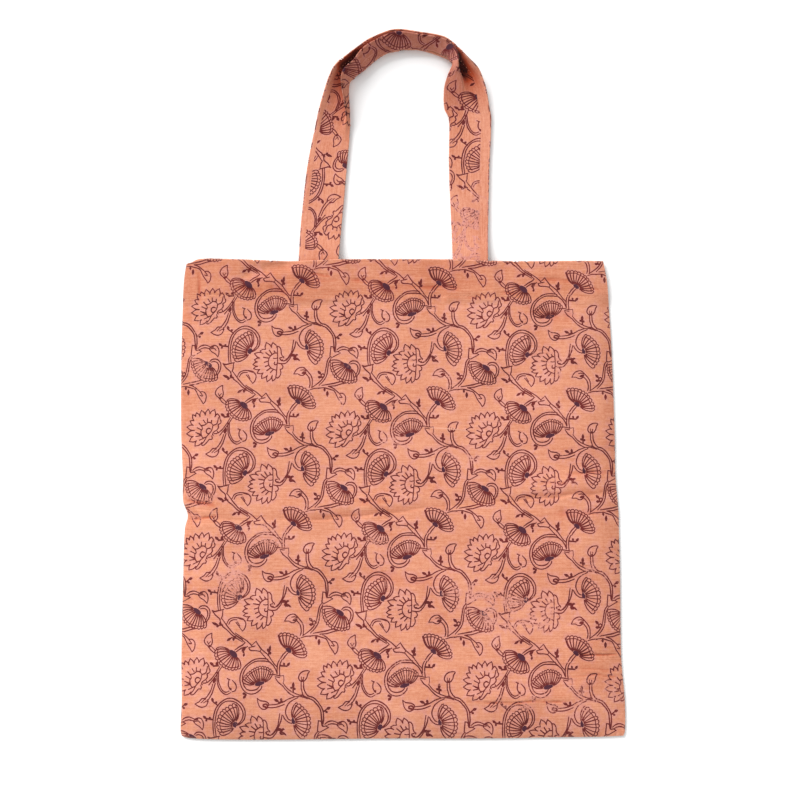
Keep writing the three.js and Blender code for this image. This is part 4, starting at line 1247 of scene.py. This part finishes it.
class Strap:
    """A folded strap laid along a route, opened out as length by girth."""

    def __init__(self, lines):
        self.lines = lines
        ts = np.linspace(0, 1, 700)
        walks = []
        for a in (0.05, 0.35, 0.65, 0.95):
            p = band_middle(lines, ts, np.full_like(ts, a))
            walks.append(np.concatenate([[0], np.cumsum(np.linalg.norm(np.diff(p, axis=0), axis=1))]))
        walk = np.mean(walks, 0)
        self.length = float(walk[-1])
        self.ts, self.walk = ts, walk
        # equal lengths across, found on a table over the strap
        self.t_table = np.linspace(0, 1, 500)
        a = np.linspace(0, 1, 81)
        tt, aa = np.meshgrid(self.t_table, a, indexing="ij")
        p = band_middle(lines, tt.ravel(), aa.ravel()).reshape(500, 81, 3)
        d = np.linalg.norm(np.diff(p, axis=1), axis=2)
        cum = np.concatenate([np.zeros((500, 1)), np.cumsum(d, axis=1)], 1)
        cum /= cum[:, -1:]
        self.q_table = np.linspace(0, 1, 81)
        self.a_table = np.array([np.interp(self.q_table, row, a) for row in cum])
        self.half = STRAP_THICK / 2
        self.face = STRAP_WIDTH - STRAP_THICK
        self.roll = math.pi * self.half
        self.girth = 2 * (self.face + self.roll)

    def section(self, s, q):
        """Place along the route and the section's own measure at length s and q across."""
        t = np.interp(s, self.walk, self.ts)
        ft = t * (len(self.t_table) - 1)
        i = np.clip(np.floor(ft).astype(int), 0, len(self.t_table) - 2)
        fq = np.clip(q, 0, 1) * 80
        j = np.clip(np.floor(fq).astype(int), 0, 79)
        wt, wq = ft - i, fq - j
        A = self.a_table
        a = (A[i, j] * (1 - wt) * (1 - wq) + A[i + 1, j] * wt * (1 - wq)
             + A[i, j + 1] * (1 - wt) * wq + A[i + 1, j + 1] * wt * wq)
        return t, a

    def middle(self, s, q):
        """Point of the middle surface at length s and q across (0 to 1)."""
        return band_middle(self.lines, *self.section(s, q))

    def across(self, s, a):
        """Share of the width at which the section's own measure is a."""
        i = int(round(float(np.interp(s, self.walk, self.ts)) * (len(self.t_table) - 1)))
        return float(np.interp(a, self.a_table[i], self.q_table))

    def frame(self, s, q):
        e = 0.006
        q0, q1 = np.clip(q - e, 0, 1), np.clip(q + e, 0, 1)
        s0, s1 = np.clip(s - 0.6, 0, self.length), np.clip(s + 0.6, 0, self.length)
        across = self.middle(s, q1) - self.middle(s, q0)
        along = self.middle(s1, q) - self.middle(s0, q)
        n = np.cross(across, along)
        n /= np.maximum(np.linalg.norm(n, axis=1), 1e-9)[:, None]
        side = across / np.maximum(np.linalg.norm(across, axis=1), 1e-9)[:, None]
        return n, side

    def split(self, g):
        """Girth to place across and the turn from the upper face round the edge.

        g runs from the middle of the lower face to the outer edge, over the
        upper face to the inner edge and back under."""
        h = self.face / 2
        r = self.roll
        W = STRAP_WIDTH
        q = np.empty_like(g)
        phi = np.empty_like(g)      # 0 up, pi down; edges pass through pi/2
        way = np.zeros_like(g)      # -1 outer edge, 1 inner edge
        c1 = g < h
        q[c1] = (W / 2 - g[c1])
        phi[c1] = math.pi
        c2 = (g >= h) & (g < h + r)
        q[c2] = self.half
        phi[c2] = math.pi * (1 - (g[c2] - h) / r)
        way[c2] = -1
        c3 = (g >= h + r) & (g < h + r + self.face)
        q[c3] = self.half + g[c3] - h - r
        phi[c3] = 0.0
        c4 = (g >= h + r + self.face) & (g < h + 2 * r + self.face)
        q[c4] = W - self.half
        phi[c4] = math.pi * (g[c4] - h - r - self.face) / r
        way[c4] = 1
        c5 = g >= h + 2 * r + self.face
        q[c5] = W - self.half - (g[c5] - h - 2 * r - self.face)
        phi[c5] = math.pi
        return q / W, phi, way

    def place(self, flat):
        """Opened-out strap (length, girth) to space, with its normals."""
        s, g = flat[:, 0], flat[:, 1]
        q, phi, way = self.split(g)
        mid = self.middle(s, q)
        n, side = self.frame(s, q)
        c, sn = np.cos(phi)[:, None], np.sin(phi)[:, None]
        normal = n * c + side * (way[:, None] * sn)
        ripple = 0.10 * noise(s / 9, g / 9, SEED + 11) + 0.06 * noise(s / 3.1, g / 3.4, SEED + 12)
        up = phi < 0.1
        x_out = q * STRAP_WIDTH
        seam = strap_seam(s)
        dip = np.where(up | (phi > 3.0), -0.45 * smooth(1 - np.abs(x_out - seam) / 1.2)
                       - 0.22 * smooth(1 - np.abs(STRAP_WIDTH - x_out - 4.0) / 1.0), 0.0)
        out = mid + normal * (self.half + ripple + dip)[:, None]
        out[:, 2] = np.maximum(out[:, 2], 0.02)
        return out, normal


def strap_seam(s):
    """Distance of the folded edge from the outer edge of the strap."""
    return lerp(5.0, 8.5, smooth((s - 150.0) / 220.0))


def strap_print(strap, turn_x, turn_y, skew, stretch):
    """The print runs along the strap, upside down on its left leg."""
    top = strap.face / 2 + strap.roll      # girth at the outer edge of the upper face

    def place(u, v):
        x = u * REPEAT_RIGHT[0] + v * REPEAT_DOWN[0]
        y = u * REPEAT_RIGHT[1] + v * REPEAT_DOWN[1]
        s = (turn_y - y) / stretch
        c = turn_x - x + skew * s
        return np.stack([s, c + top], 1)
    return place


def make_strap(name, strap, prints, seed, material):
    """A printed strap; prints holds (print, from, to) for each stretch of its length."""
    L, G = strap.length, strap.girth
    sample = np.linspace(0, L, int(L / 3.0))
    girth = np.concatenate([np.linspace(0, G, 26)])
    outline = [(s, 0.0) for s in sample] + [(L, g) for g in girth[1:-1]]
    outline += [(s, G) for s in sample[::-1]] + [(0.0, g) for g in girth[1:-1][::-1]]

    def keep(p):
        return (p[:, 0] > -6) & (p[:, 0] < L + 6) & (p[:, 1] > 0) & (p[:, 1] < G)

    tiles = [(i, j) for i in range(-2, 3) for j in range(-4, 10)]
    points, polys, dark = [], [], []
    for place_print, start, end in prints:
        more, more_polys, more_dark = print_polygons(place_print, tiles, lambda p: keep(p) & (p[:, 0] > start) & (p[:, 0] < end))
        spots = np.array(more)
        base = len(points)
        own = (spots[:, 0] > start - 1.5) & (spots[:, 0] < end + 1.5)
        points += more
        polys += [[k + base for k in p] for p in more_polys if own[p].all()]
        dark += [[k + base for k in p] for p in more_dark if own[p].all()]
    pts = np.array(points)
    h, r = strap.face / 2, strap.roll
    # the outer fold of the strap came out of the print bare
    clear = (pts[:, 1] > 0.5) & (pts[:, 1] < G - 0.5)
    polys = [p for p in polys if clear[p].all()]
    dark = [p for p in dark if clear[p].all()]
    points, polys, dark = used_only(points, polys, dark)
    extra = []
    for n, s in enumerate(np.arange(1.5, L - 1.0, 2.4)):
        for g in np.arange(1.2 + (0.6 if n % 2 else 0), G - 0.8, 2.4):
            extra.append((s, g))
    for s in np.arange(1.0, L - 0.5, 2.0):
        for g in (h, h + r * 0.25, h + r * 0.5, h + r * 0.75, h + r):
            extra.append((s, g))
            extra.append((s, g + r + strap.face))
        seam = float(strap_seam(np.array([s]))[0]) - strap.half
        for d in (-1.0, -0.5, 0.0, 0.5, 1.0):
            extra.append((s, h + r + seam + d))
            extra.append((s, h + r + strap.face - 4.0 + strap.half + d))
    for s in np.arange(40.0, L - 40.0, 1.6):
        for part in (1.0 / 3.0, 2.0 / 3.0):
            x_out = strap.across(s, part) * STRAP_WIDTH
            for d in (-2.2, -1.5, -0.9, -0.4, 0.1, 0.6, 1.1, 1.7, 2.4):
                if 1.5 < x_out + d < STRAP_WIDTH - 1.5:
                    extra.append((s, h + r + x_out + d - strap.half))
                    extra.append((s, h - (x_out + d - STRAP_WIDTH / 2) if x_out + d < STRAP_WIDTH / 2
                                  else h + 2 * r + strap.face + (STRAP_WIDTH - strap.half - x_out - d)))
    extra = [p for p in extra if 0.4 < p[1] < G - 0.4]
    seam_line = [(s, h + r + float(strap_seam(np.array([s]))[0]) - 0.6) for s in np.linspace(0.0, L, 200)]
    edge_line = [(s, h + r + 0.3) for s in np.linspace(0.0, L, 200)]
    flat, tris, ink = triangulate(outline, (points, polys, dark), ([], []), extra, (seam_line, edge_line))
    mid = flat[tris].mean(1)
    ink[(mid[:, 1] > h + r + 0.3) & (mid[:, 1] < h + r + strap_seam(mid[:, 0]) - 0.6)] = 0.0

    # join the two long borders under the strap
    target = np.arange(len(flat))
    low = np.flatnonzero(flat[:, 1] < 1e-4)
    high = np.flatnonzero(flat[:, 1] > G - 1e-4)
    target[high[np.argsort(flat[high, 0])]] = low[np.argsort(flat[low, 0])]
    points3, normals = strap.place(flat)
    cloth = Cloth()
    q, phi, way = strap.split(flat[:, 1].copy())
    edge = np.sin(phi) ** 0.5
    low_leg = smooth((flat[:, 0] - (L - 130.0)) / 70.0) if seed == 0 else 0 * q
    pale = np.where(phi > 3.0, 0.35, 0.60 * low_leg + 0.08)
    # painted shade on the front handle: fold in its buckled pockets, deepest at their inmost part, and shade on its
    # raised band
    fold, shade = 0 * q, 0 * q
    if seed == 0:
        t, part = strap.section(flat[:, 0], q)
        fold = np.interp(t * (len(FRONT_POCKET_SHADES) - 1), np.arange(len(FRONT_POCKET_SHADES)), FRONT_POCKET_SHADES)
        shade = np.interp(t * (len(FRONT_SHADES) - 1), np.arange(len(FRONT_SHADES)), FRONT_SHADES)
        shade = smooth((part - 0.58) / 0.06) * shade * (phi < 0.1)
        depth = fold * fold * smooth((part - 0.07) / 0.16) * (1.0 - smooth((part - 0.50) / 0.10))
        fold = fold * smooth((part - 0.002) / 0.085) * (1.0 - smooth((part - 0.50) / 0.12))
        pocket = ridge_sum(points3[:, 0], points3[:, 1], POCKET_SHADOW_ROWS) * (1.0 - smooth((part - 0.50) / 0.10))
        fold = np.minimum(fold + 1.0 * depth + pocket, 2.0) * (phi < 0.1)
    base = cloth.add_points(points3, normals, pale, edge, shade, fold)
    uv = np.stack([0.02 + flat[:, 0] / 540.0, 0.02 + flat[:, 1] / 540.0], 1)
    order = tris[:, ::-1]
    cloth.add_tris(target[order] + base, flat[order], uv[order], ink)
    # ends
    for s, flip in ((0.0, False), (L, True)):
        ring = np.flatnonzero(np.abs(flat[:, 0] - s) < 1e-4)
        ring = ring[np.argsort(flat[ring, 1])]
        ring = [k for k in ring if flat[k, 1] < G - 1e-4]
        centre = points3[ring].mean(0)
        way3 = np.array([0.0, -1.0, 0.0])
        mid = cloth.add_points(centre[None], way3[None], np.zeros(1), np.zeros(1))
        caps = []
        for a, b in zip(ring, ring[1:] + ring[:1]):
            caps.append((target[a] + base, target[b] + base, mid) if flip else (target[b] + base, target[a] + base, mid))
        caps = np.array(caps)
        spot = np.tile(np.array([[s, 0.0]]), (len(caps) * 3, 1)).reshape(-1, 3, 2)
        cloth.add_tris(caps, spot, np.full((len(caps), 3, 2), 0.95), np.zeros(len(caps)))
    return cloth.make(name, material)


# ------------------------------------------------------------------ stitches

def stitch_mesh(name, starts, ends, ups, material, thick=0.42, rise=0.28):
    """Short thread stitches that dip into the cloth at both ends."""
    rings, sides = 5, 6
    verts, tris = [], []
    for a, b, up in zip(starts, ends, ups):
        base = len(verts)
        way = b - a
        size = np.linalg.norm(way)
        way = way / size
        side = np.cross(up, way)
        side /= np.linalg.norm(side)
        for k in range(rings):
            t = k / (rings - 1)
            bow = math.sin(math.pi * t)
            centre = a + (b - a) * t + up * (rise * bow - 0.22)
            radius = thick / 2 * (0.55 + 0.45 * bow)
            for m in range(sides):
                ang = 2 * math.pi * m / sides
                verts.append(centre + side * radius * math.cos(ang) + up * radius * 0.8 * math.sin(ang))
        for k in range(rings - 1):
            for m in range(sides):
                p = base + k * sides + m
                q = base + k * sides + (m + 1) % sides
                tris.append((p, q, q + sides))
                tris.append((p, q + sides, p + sides))
        for m in range(1, sides - 1):
            tris.append((base, base + m + 1, base + m))
            e = base + (rings - 1) * sides
            tris.append((e, e + m, e + m + 1))
    points = np.array(verts)
    points[:, 0] += PLAN_SHIFT[0]
    points[:, 1] += PLAN_SHIFT[1]
    mesh = bpy.data.meshes.new(name)
    mesh.from_pydata([tuple(p) for p in points * 0.001], [], tris)
    mesh.polygons.foreach_set("use_smooth", np.ones(len(mesh.polygons), bool))
    mesh.update()
    mesh.materials.append(material)
    obj = bpy.data.objects.new(name, mesh)
    bpy.context.scene.collection.objects.link(obj)
    return obj


def hem_stitches(name, outer, sign, material):
    a, b, up = [], [], []
    rng = np.random.default_rng(SEED + 9)
    for x in np.arange(-186.0, 178.0, 3.1):
        y = float(mouth_edge(x)) - HEM_DEPTH + rng.uniform(-0.15, 0.15)
        ends = np.array([(x, y), (x + 2.3, y + rng.uniform(-0.12, 0.12))])
        if ends[1, 0] > float(right_seam(y)) - 2 or x < float(left_seam(y)) + 2:
            continue
        p = outer(ends)
        n = slopes(outer, ends)[0] * sign
        a.append(p[0])
        b.append(p[1])
        up.append(n)
    return stitch_mesh(name, a, b, up, material)


def strap_stitches(name, strap, material):
    a, b, up = [], [], []
    rng = np.random.default_rng(SEED + 10)
    h, r = strap.face / 2, strap.roll
    for s in np.arange(36.0, strap.length - 36.0, 2.9):
        seam = float(strap_seam(np.array([s]))[0])
        for x_out in (seam, STRAP_WIDTH - 4.0):
            g = h + r + x_out - strap.half + rng.uniform(-0.12, 0.12)
            p, n = strap.place(np.array([(s, g), (s + 2.1, g)]))
            a.append(p[0])
            b.append(p[1])
            up.append(n.mean(0) / np.linalg.norm(n.mean(0)))
    return stitch_mesh(name, a, b, up, material, 0.4, 0.24)


# ----------------------------------------------------------------- materials

CLOTH_TONES = [(0.479, 0.157, 0.080), (0.691, 0.316, 0.202)]
STRAP_TONES = [(0.471, 0.148, 0.076), (0.673, 0.300, 0.200)]
INK_TONES = [(0.076, 0.005, 0.006), (0.128, 0.009, 0.009)]
SPOT_TONE = (0.047, 0.007, 0.021)      # where more dye stood on the block
DOUBLE_CLOTH_AND_SHADE_TONE = (0.955, 0.935, 0.935)        # two thicknesses look a little warmer; this also carries painted shade
SOAK_TONE = (0.970, 1.01, 1.30)        # cloth beside the print, greyed by the dye
# painted shade on the raised band of the front handle
BAND_SHADE_TONE = (0.76, 0.73, 0.84)
# painted shadow in the inmost part of the handle's pockets
INMOST_SHADOW_TONE = (0.17, 0.09, 0.08)
FOLD_SHADE_TONE = (0.68, 0.235, 0.110)         # painted shade in the buckled folds, the wrinkles and the crease
WORN_TONE = (0.654, 0.342, 0.240)


class Nodes:
    def __init__(self, name):
        self.material = bpy.data.materials.new(name)
        self.material.use_nodes = True
        self.tree = self.material.node_tree
        self.tree.nodes.clear()

    def new(self, kind, **settings):
        node = self.tree.nodes.new(kind)
        for key, value in settings.items():
            setattr(node, key, value)
        return node

    def link(self, a, b):
        self.tree.links.new(a, b)

    def put(self, socket, value):
        if hasattr(value, "is_output"):
            self.link(value, socket)
        else:
            socket.default_value = value

    def attribute(self, name, output="Fac"):
        return self.new("ShaderNodeAttribute", attribute_name=name).outputs[output]

    def math(self, operation, a, b=0.0, use_clamp=False):
        node = self.new("ShaderNodeMath", operation=operation, use_clamp=use_clamp)
        self.put(node.inputs[0], a)
        self.put(node.inputs[1], b)
        return node.outputs[0]

    def span(self, value, low, high, to_low=0.0, to_high=1.0):
        node = self.new("ShaderNodeMapRange")
        node.clamp = True
        self.put(node.inputs["Value"], value)
        self.put(node.inputs["From Min"], low)
        self.put(node.inputs["From Max"], high)
        node.inputs["To Min"].default_value = to_low
        node.inputs["To Max"].default_value = to_high
        return node.outputs["Result"]

    def stretch(self, vector, scale, offset=(0.0, 0.0, 0.0)):
        node = self.new("ShaderNodeMapping")
        self.link(vector, node.inputs["Vector"])
        node.inputs["Scale"].default_value = scale
        node.inputs["Location"].default_value = offset
        return node.outputs["Vector"]

    def noise(self, vector, scale=1.0, detail=2.0, roughness=0.5):
        node = self.new("ShaderNodeTexNoise")
        self.link(vector, node.inputs["Vector"])
        node.inputs["Scale"].default_value = scale
        node.inputs["Detail"].default_value = detail
        node.inputs["Roughness"].default_value = roughness
        return node.outputs["Fac"]

    def mix(self, share, a, b):
        node = self.new("ShaderNodeMix", data_type="RGBA")
        self.put(node.inputs["Factor"], share)
        for socket, value in ((node.inputs[6], a), (node.inputs[7], b)):
            if hasattr(value, "is_output"):
                self.link(value, socket)
            else:
                socket.default_value = (*value, 1.0)
        return node.outputs[2]


def cloth_material(name, tones):
    n = Nodes(name)
    flat = n.attribute("flat", "Vector")
    ink = n.attribute("ink")
    pale = n.attribute("pale")
    edge = n.attribute("edge")
    dense = n.attribute("dense")
    fold = n.attribute("fold")
    soak = n.attribute("soak")

    # threads: thin slubs, mottled dye and clouds of slightly other tone
    weft = n.noise(n.stretch(flat, (0.045, 1.10, 1.0)), 1.0, 3.0, 0.6)
    warp = n.noise(n.stretch(flat, (0.70, 0.045, 1.0), (7.0, 3.0, 0.0)), 1.0, 3.0, 0.6)
    blotch = n.noise(n.stretch(flat, (0.30, 0.44, 1.0), (3.0, 9.0, 0.0)), 1.0, 4.0, 0.65)
    cloud = n.noise(n.stretch(flat, (0.020, 0.026, 1.0), (1.0, 5.0, 0.0)), 1.0, 3.0, 0.55)
    grain = n.noise(n.stretch(flat, (1.3, 2.0, 1.0)), 1.0, 2.0, 0.6)
    threads = n.math("ADD", n.math("MULTIPLY", weft, 0.78), n.math("MULTIPLY", warp, 0.22))
    mottle = n.math("ADD", n.math("MULTIPLY", blotch, 0.34), n.math("MULTIPLY", grain, 0.36))
    tone = n.math("ADD", n.math("MULTIPLY", threads, 0.46), n.math("ADD", mottle, n.math("MULTIPLY", cloud, 0.28)))
    # darker tone where the cloth lies double, also used for painted shade
    tone = n.math("SUBTRACT", tone, n.math("MULTIPLY", n.math("MINIMUM", dense, 1.0), 0.070))
    cloth = n.mix(n.span(tone, 0.58, 0.86), tones[0], tones[1])

    double = n.new("ShaderNodeMix", data_type="RGBA", blend_type="MULTIPLY")
    n.link(dense, double.inputs["Factor"])
    n.link(cloth, double.inputs[6])
    double.inputs[7].default_value = (*DOUBLE_CLOTH_AND_SHADE_TONE, 1.0)
    cloth = double.outputs[2]

    # painted shade on the raised band of the front handle, where the value passes 1
    dim = n.new("ShaderNodeMix", data_type="RGBA", blend_type="MULTIPLY")
    n.link(n.math("SUBTRACT", dense, 1.0, True), dim.inputs["Factor"])
    n.link(cloth, dim.inputs[6])
    dim.inputs[7].default_value = (*BAND_SHADE_TONE, 1.0)
    cloth = dim.outputs[2]

    # a breath of dye that spread into the cloth beside the print
    halo = n.new("ShaderNodeMix", data_type="RGBA", blend_type="MULTIPLY")
    n.link(soak, halo.inputs["Factor"])
    n.link(cloth, halo.inputs[6])
    halo.inputs[7].default_value = (*SOAK_TONE, 1.0)
    cloth = halo.outputs[2]

    # the print: soaked in unevenly, broken on the thick threads and where pale
    patch = n.span(n.noise(n.stretch(flat, (0.42, 0.42, 1.0), (2.0, 6.0, 0.0)), 1.0, 3.0, 0.65), 0.36, 0.64)
    level = n.math("ADD", n.math("MULTIPLY", patch, 0.8), n.math("MULTIPLY", grain, 0.5))
    level = n.math("SUBTRACT", n.math("ADD", level, 0.46), n.math("MULTIPLY", pale, 1.25))
    cover = n.span(level, 0.22, 0.66)
    cover = n.math("MULTIPLY", cover, n.span(ink, 0.0, 1.0))
    dye = n.mix(n.span(cloud, 0.35, 0.65), INK_TONES[0], INK_TONES[1])
    dye = n.mix(n.span(ink, 1.0, 2.0), dye, SPOT_TONE)
    colour = n.mix(n.math("MULTIPLY", cover, 0.97), cloth, dye)

    # rubbed pale along the edges, and bare on the lines that a wrinkle kept
    rub = n.math("MULTIPLY", edge, n.span(grain, 0.35, 0.65, 0.15, 0.5))
    bare = n.math("MULTIPLY", n.math("MAXIMUM", n.math("MULTIPLY", ink, -1.0), 0.0), 0.65)
    colour = n.mix(n.math("MAXIMUM", rub, bare, True), colour, WORN_TONE)

    # painted shade in the handle's pockets, the wrinkles and the crease, with painted shadow deepest in the pockets
    deep = n.new("ShaderNodeMix", data_type="RGBA", blend_type="MULTIPLY")
    n.link(fold, deep.inputs["Factor"])
    n.link(colour, deep.inputs[6])
    deep.inputs[7].default_value = (*FOLD_SHADE_TONE, 1.0)
    colour = deep.outputs[2]
    inmost = n.new("ShaderNodeMix", data_type="RGBA", blend_type="MULTIPLY")
    n.link(n.math("SUBTRACT", fold, 1.0, True), inmost.inputs["Factor"])
    n.link(colour, inmost.inputs[6])
    inmost.inputs[7].default_value = (*INMOST_SHADOW_TONE, 1.0)
    colour = inmost.outputs[2]

    # plain weave
    place = n.new("ShaderNodeSeparateXYZ")
    n.link(flat, place.inputs[0])
    uneven = n.math("MULTIPLY", blotch, 11.0)
    sx = n.math("SINE", n.math("ADD", n.math("MULTIPLY", place.outputs[0], 9.2), uneven))
    sy = n.math("SINE", n.math("ADD", n.math("MULTIPLY", place.outputs[1], 9.2), uneven))
    weave = n.math("MULTIPLY", n.math("ADD", sx, sy), 0.10)
    height = n.math("ADD", weave, n.math("MULTIPLY", threads, 2.4))
    bump = n.new("ShaderNodeBump")
    bump.inputs["Strength"].default_value = 0.5
    bump.inputs["Distance"].default_value = 0.00016
    n.link(height, bump.inputs["Height"])

    shader = n.new("ShaderNodeBsdfPrincipled")
    n.link(colour, shader.inputs["Base Color"])
    n.link(n.span(threads, 0.3, 0.7, 0.96, 0.84), shader.inputs["Roughness"])
    n.link(bump.outputs["Normal"], shader.inputs["Normal"])
    shader.inputs["Specular IOR Level"].default_value = 0.2
    shader.inputs["Sheen Weight"].default_value = 0.12
    shader.inputs["Sheen Roughness"].default_value = 0.5
    out = n.new("ShaderNodeOutputMaterial")
    n.link(shader.outputs[0], out.inputs[0])
    return n.material


def thread_material():
    n = Nodes("sewing_thread")
    where = n.new("ShaderNodeTexCoord").outputs["Object"]
    fibre = n.noise(where, 900.0, 2.0, 0.6)
    colour = n.mix(n.span(fibre, 0.35, 0.65), (0.45, 0.16, 0.09), (0.62, 0.28, 0.18))
    bump = n.new("ShaderNodeBump")
    bump.inputs["Strength"].default_value = 0.4
    bump.inputs["Distance"].default_value = 0.0001
    n.link(fibre, bump.inputs["Height"])
    shader = n.new("ShaderNodeBsdfPrincipled")
    n.link(colour, shader.inputs["Base Color"])
    n.link(n.span(fibre, 0.3, 0.7, 0.75, 0.9), shader.inputs["Roughness"])
    n.link(bump.outputs["Normal"], shader.inputs["Normal"])
    shader.inputs["Specular IOR Level"].default_value = 0.3
    out = n.new("ShaderNodeOutputMaterial")
    n.link(shader.outputs[0], out.inputs[0])
    return n.material


def floor_material():
    n = Nodes("pale_floor")
    shader = n.new("ShaderNodeBsdfPrincipled")
    shader.inputs["Base Color"].default_value = (0.93, 0.93, 0.93, 1.0)
    shader.inputs["Roughness"].default_value = 1.0
    shader.inputs["Specular IOR Level"].default_value = 0.0
    out = n.new("ShaderNodeOutputMaterial")
    n.link(shader.outputs[0], out.inputs[0])
    return n.material


# ------------------------------------------------------------------- the bag

panel_cloth = cloth_material("panel_cotton", CLOTH_TONES)
strap_cloth = cloth_material("strap_cotton", STRAP_TONES)
thread = thread_material()
all_tiles = [(i, j) for j in range(-2, 4) for i in range(-3, 3)]


def back_print(u, v):
    p = stamp_place(u, v)
    p[:, 0] = -9.0 - p[:, 0]
    p[:, 1] += 31.0
    return p


back_tiles = [(i, j) for j in range(-2, 5) for i in range(-3, 3)]
front_panel, front_outer = make_panel("front_panel_cloth", front_top, 1, all_tiles, stamp_place, True, panel_cloth)
back_panel, back_outer = make_panel("back_panel_cloth", back_under, -1, back_tiles, back_print, False, panel_cloth)

front_route = Strap(front_lines())
back_route = Strap(back_lines())
leg_print, bend_print = strap_print(front_route, 56.0, 64.0, 0.0, 1.0), strap_print(front_route, 78.5, 228.0, 0.0, 1.0)
front_strap = make_strap("front_handle_strap", front_route, [(leg_print, -9.0, 207.0), (bend_print, 207.5, 344.5), (leg_print, 345.0, 600.0)],
                         0, strap_cloth)
back_strap = make_strap("back_handle_strap", back_route, [(strap_print(back_route, 20.0, 30.0, 0.0, 1.0), -9.0, 600.0)], 1, strap_cloth)

front_hem = hem_stitches("front_hem_stitches", front_outer, 1, thread)
back_hem = hem_stitches("back_hem_stitches", back_outer, -1, thread)
front_seams = strap_stitches("front_handle_stitches", front_route, thread)
back_seams = strap_stitches("back_handle_stitches", back_route, thread)

for obj, node, slot in (
    (front_panel, "front_panel", "panel_cloth"), (back_panel, "back_panel", "panel_cloth"),
    (front_strap, "front_handle", "handle_cloth"), (back_strap, "back_handle", "handle_cloth"),
):
    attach(obj, "root")
    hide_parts(node)
for obj, slot in ((front_hem, "panel_cloth"), (back_hem, "panel_cloth"),
                  (front_seams, "handle_cloth"), (back_seams, "handle_cloth")):
    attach(obj, "root")

# ------------------------------------------------------------- floor and light

floor_mesh = bpy.data.meshes.new("floor")
floor_mesh.from_pydata([(-3, -3, -0.0002), (3, -3, -0.0002), (3, 3, -0.0002), (-3, 3, -0.0002)], [], [(0, 1, 2, 3)])
floor_mesh.materials.append(floor_material())
floor = bpy.data.objects.new("floor", floor_mesh)
bpy.context.scene.collection.objects.link(floor)

world = bpy.data.worlds.new("studio")
world.use_nodes = True
world.node_tree.nodes["Background"].inputs["Color"].default_value = (1.0, 1.0, 1.0, 1.0)
world.node_tree.nodes["Background"].inputs["Strength"].default_value = 0.80
bpy.context.scene.world = world


sun = bpy.data.lights.new("key_light", "SUN")
sun.energy = 4.4
sun.angle = math.radians(45.0)
key = bpy.data.objects.new("key_light", sun)
key.location = (-0.9, 1.1, 0.7)
key.rotation_euler = Vector((0.573, -0.683, -0.454)).to_track_quat("-Z", "Y").to_euler()
bpy.context.scene.collection.objects.link(key)

camera_data = bpy.data.cameras.new("camera")
camera_data.sensor_width = 36.0
camera_data.lens = 60.5
camera_data.clip_start = 0.05
camera_data.clip_end = 20.0
camera = bpy.data.objects.new("camera", camera_data)
TILT = math.radians(7.0)
DISTANCE = 1.2
camera.location = (0.00067, -0.02554 - DISTANCE * math.sin(TILT), DISTANCE * math.cos(TILT))
camera.rotation_euler = (TILT, 0.0, 0.0)
bpy.context.scene.collection.objects.link(camera)
bpy.context.scene.camera = camera
bpy.context.scene.view_settings.view_transform = "Standard"
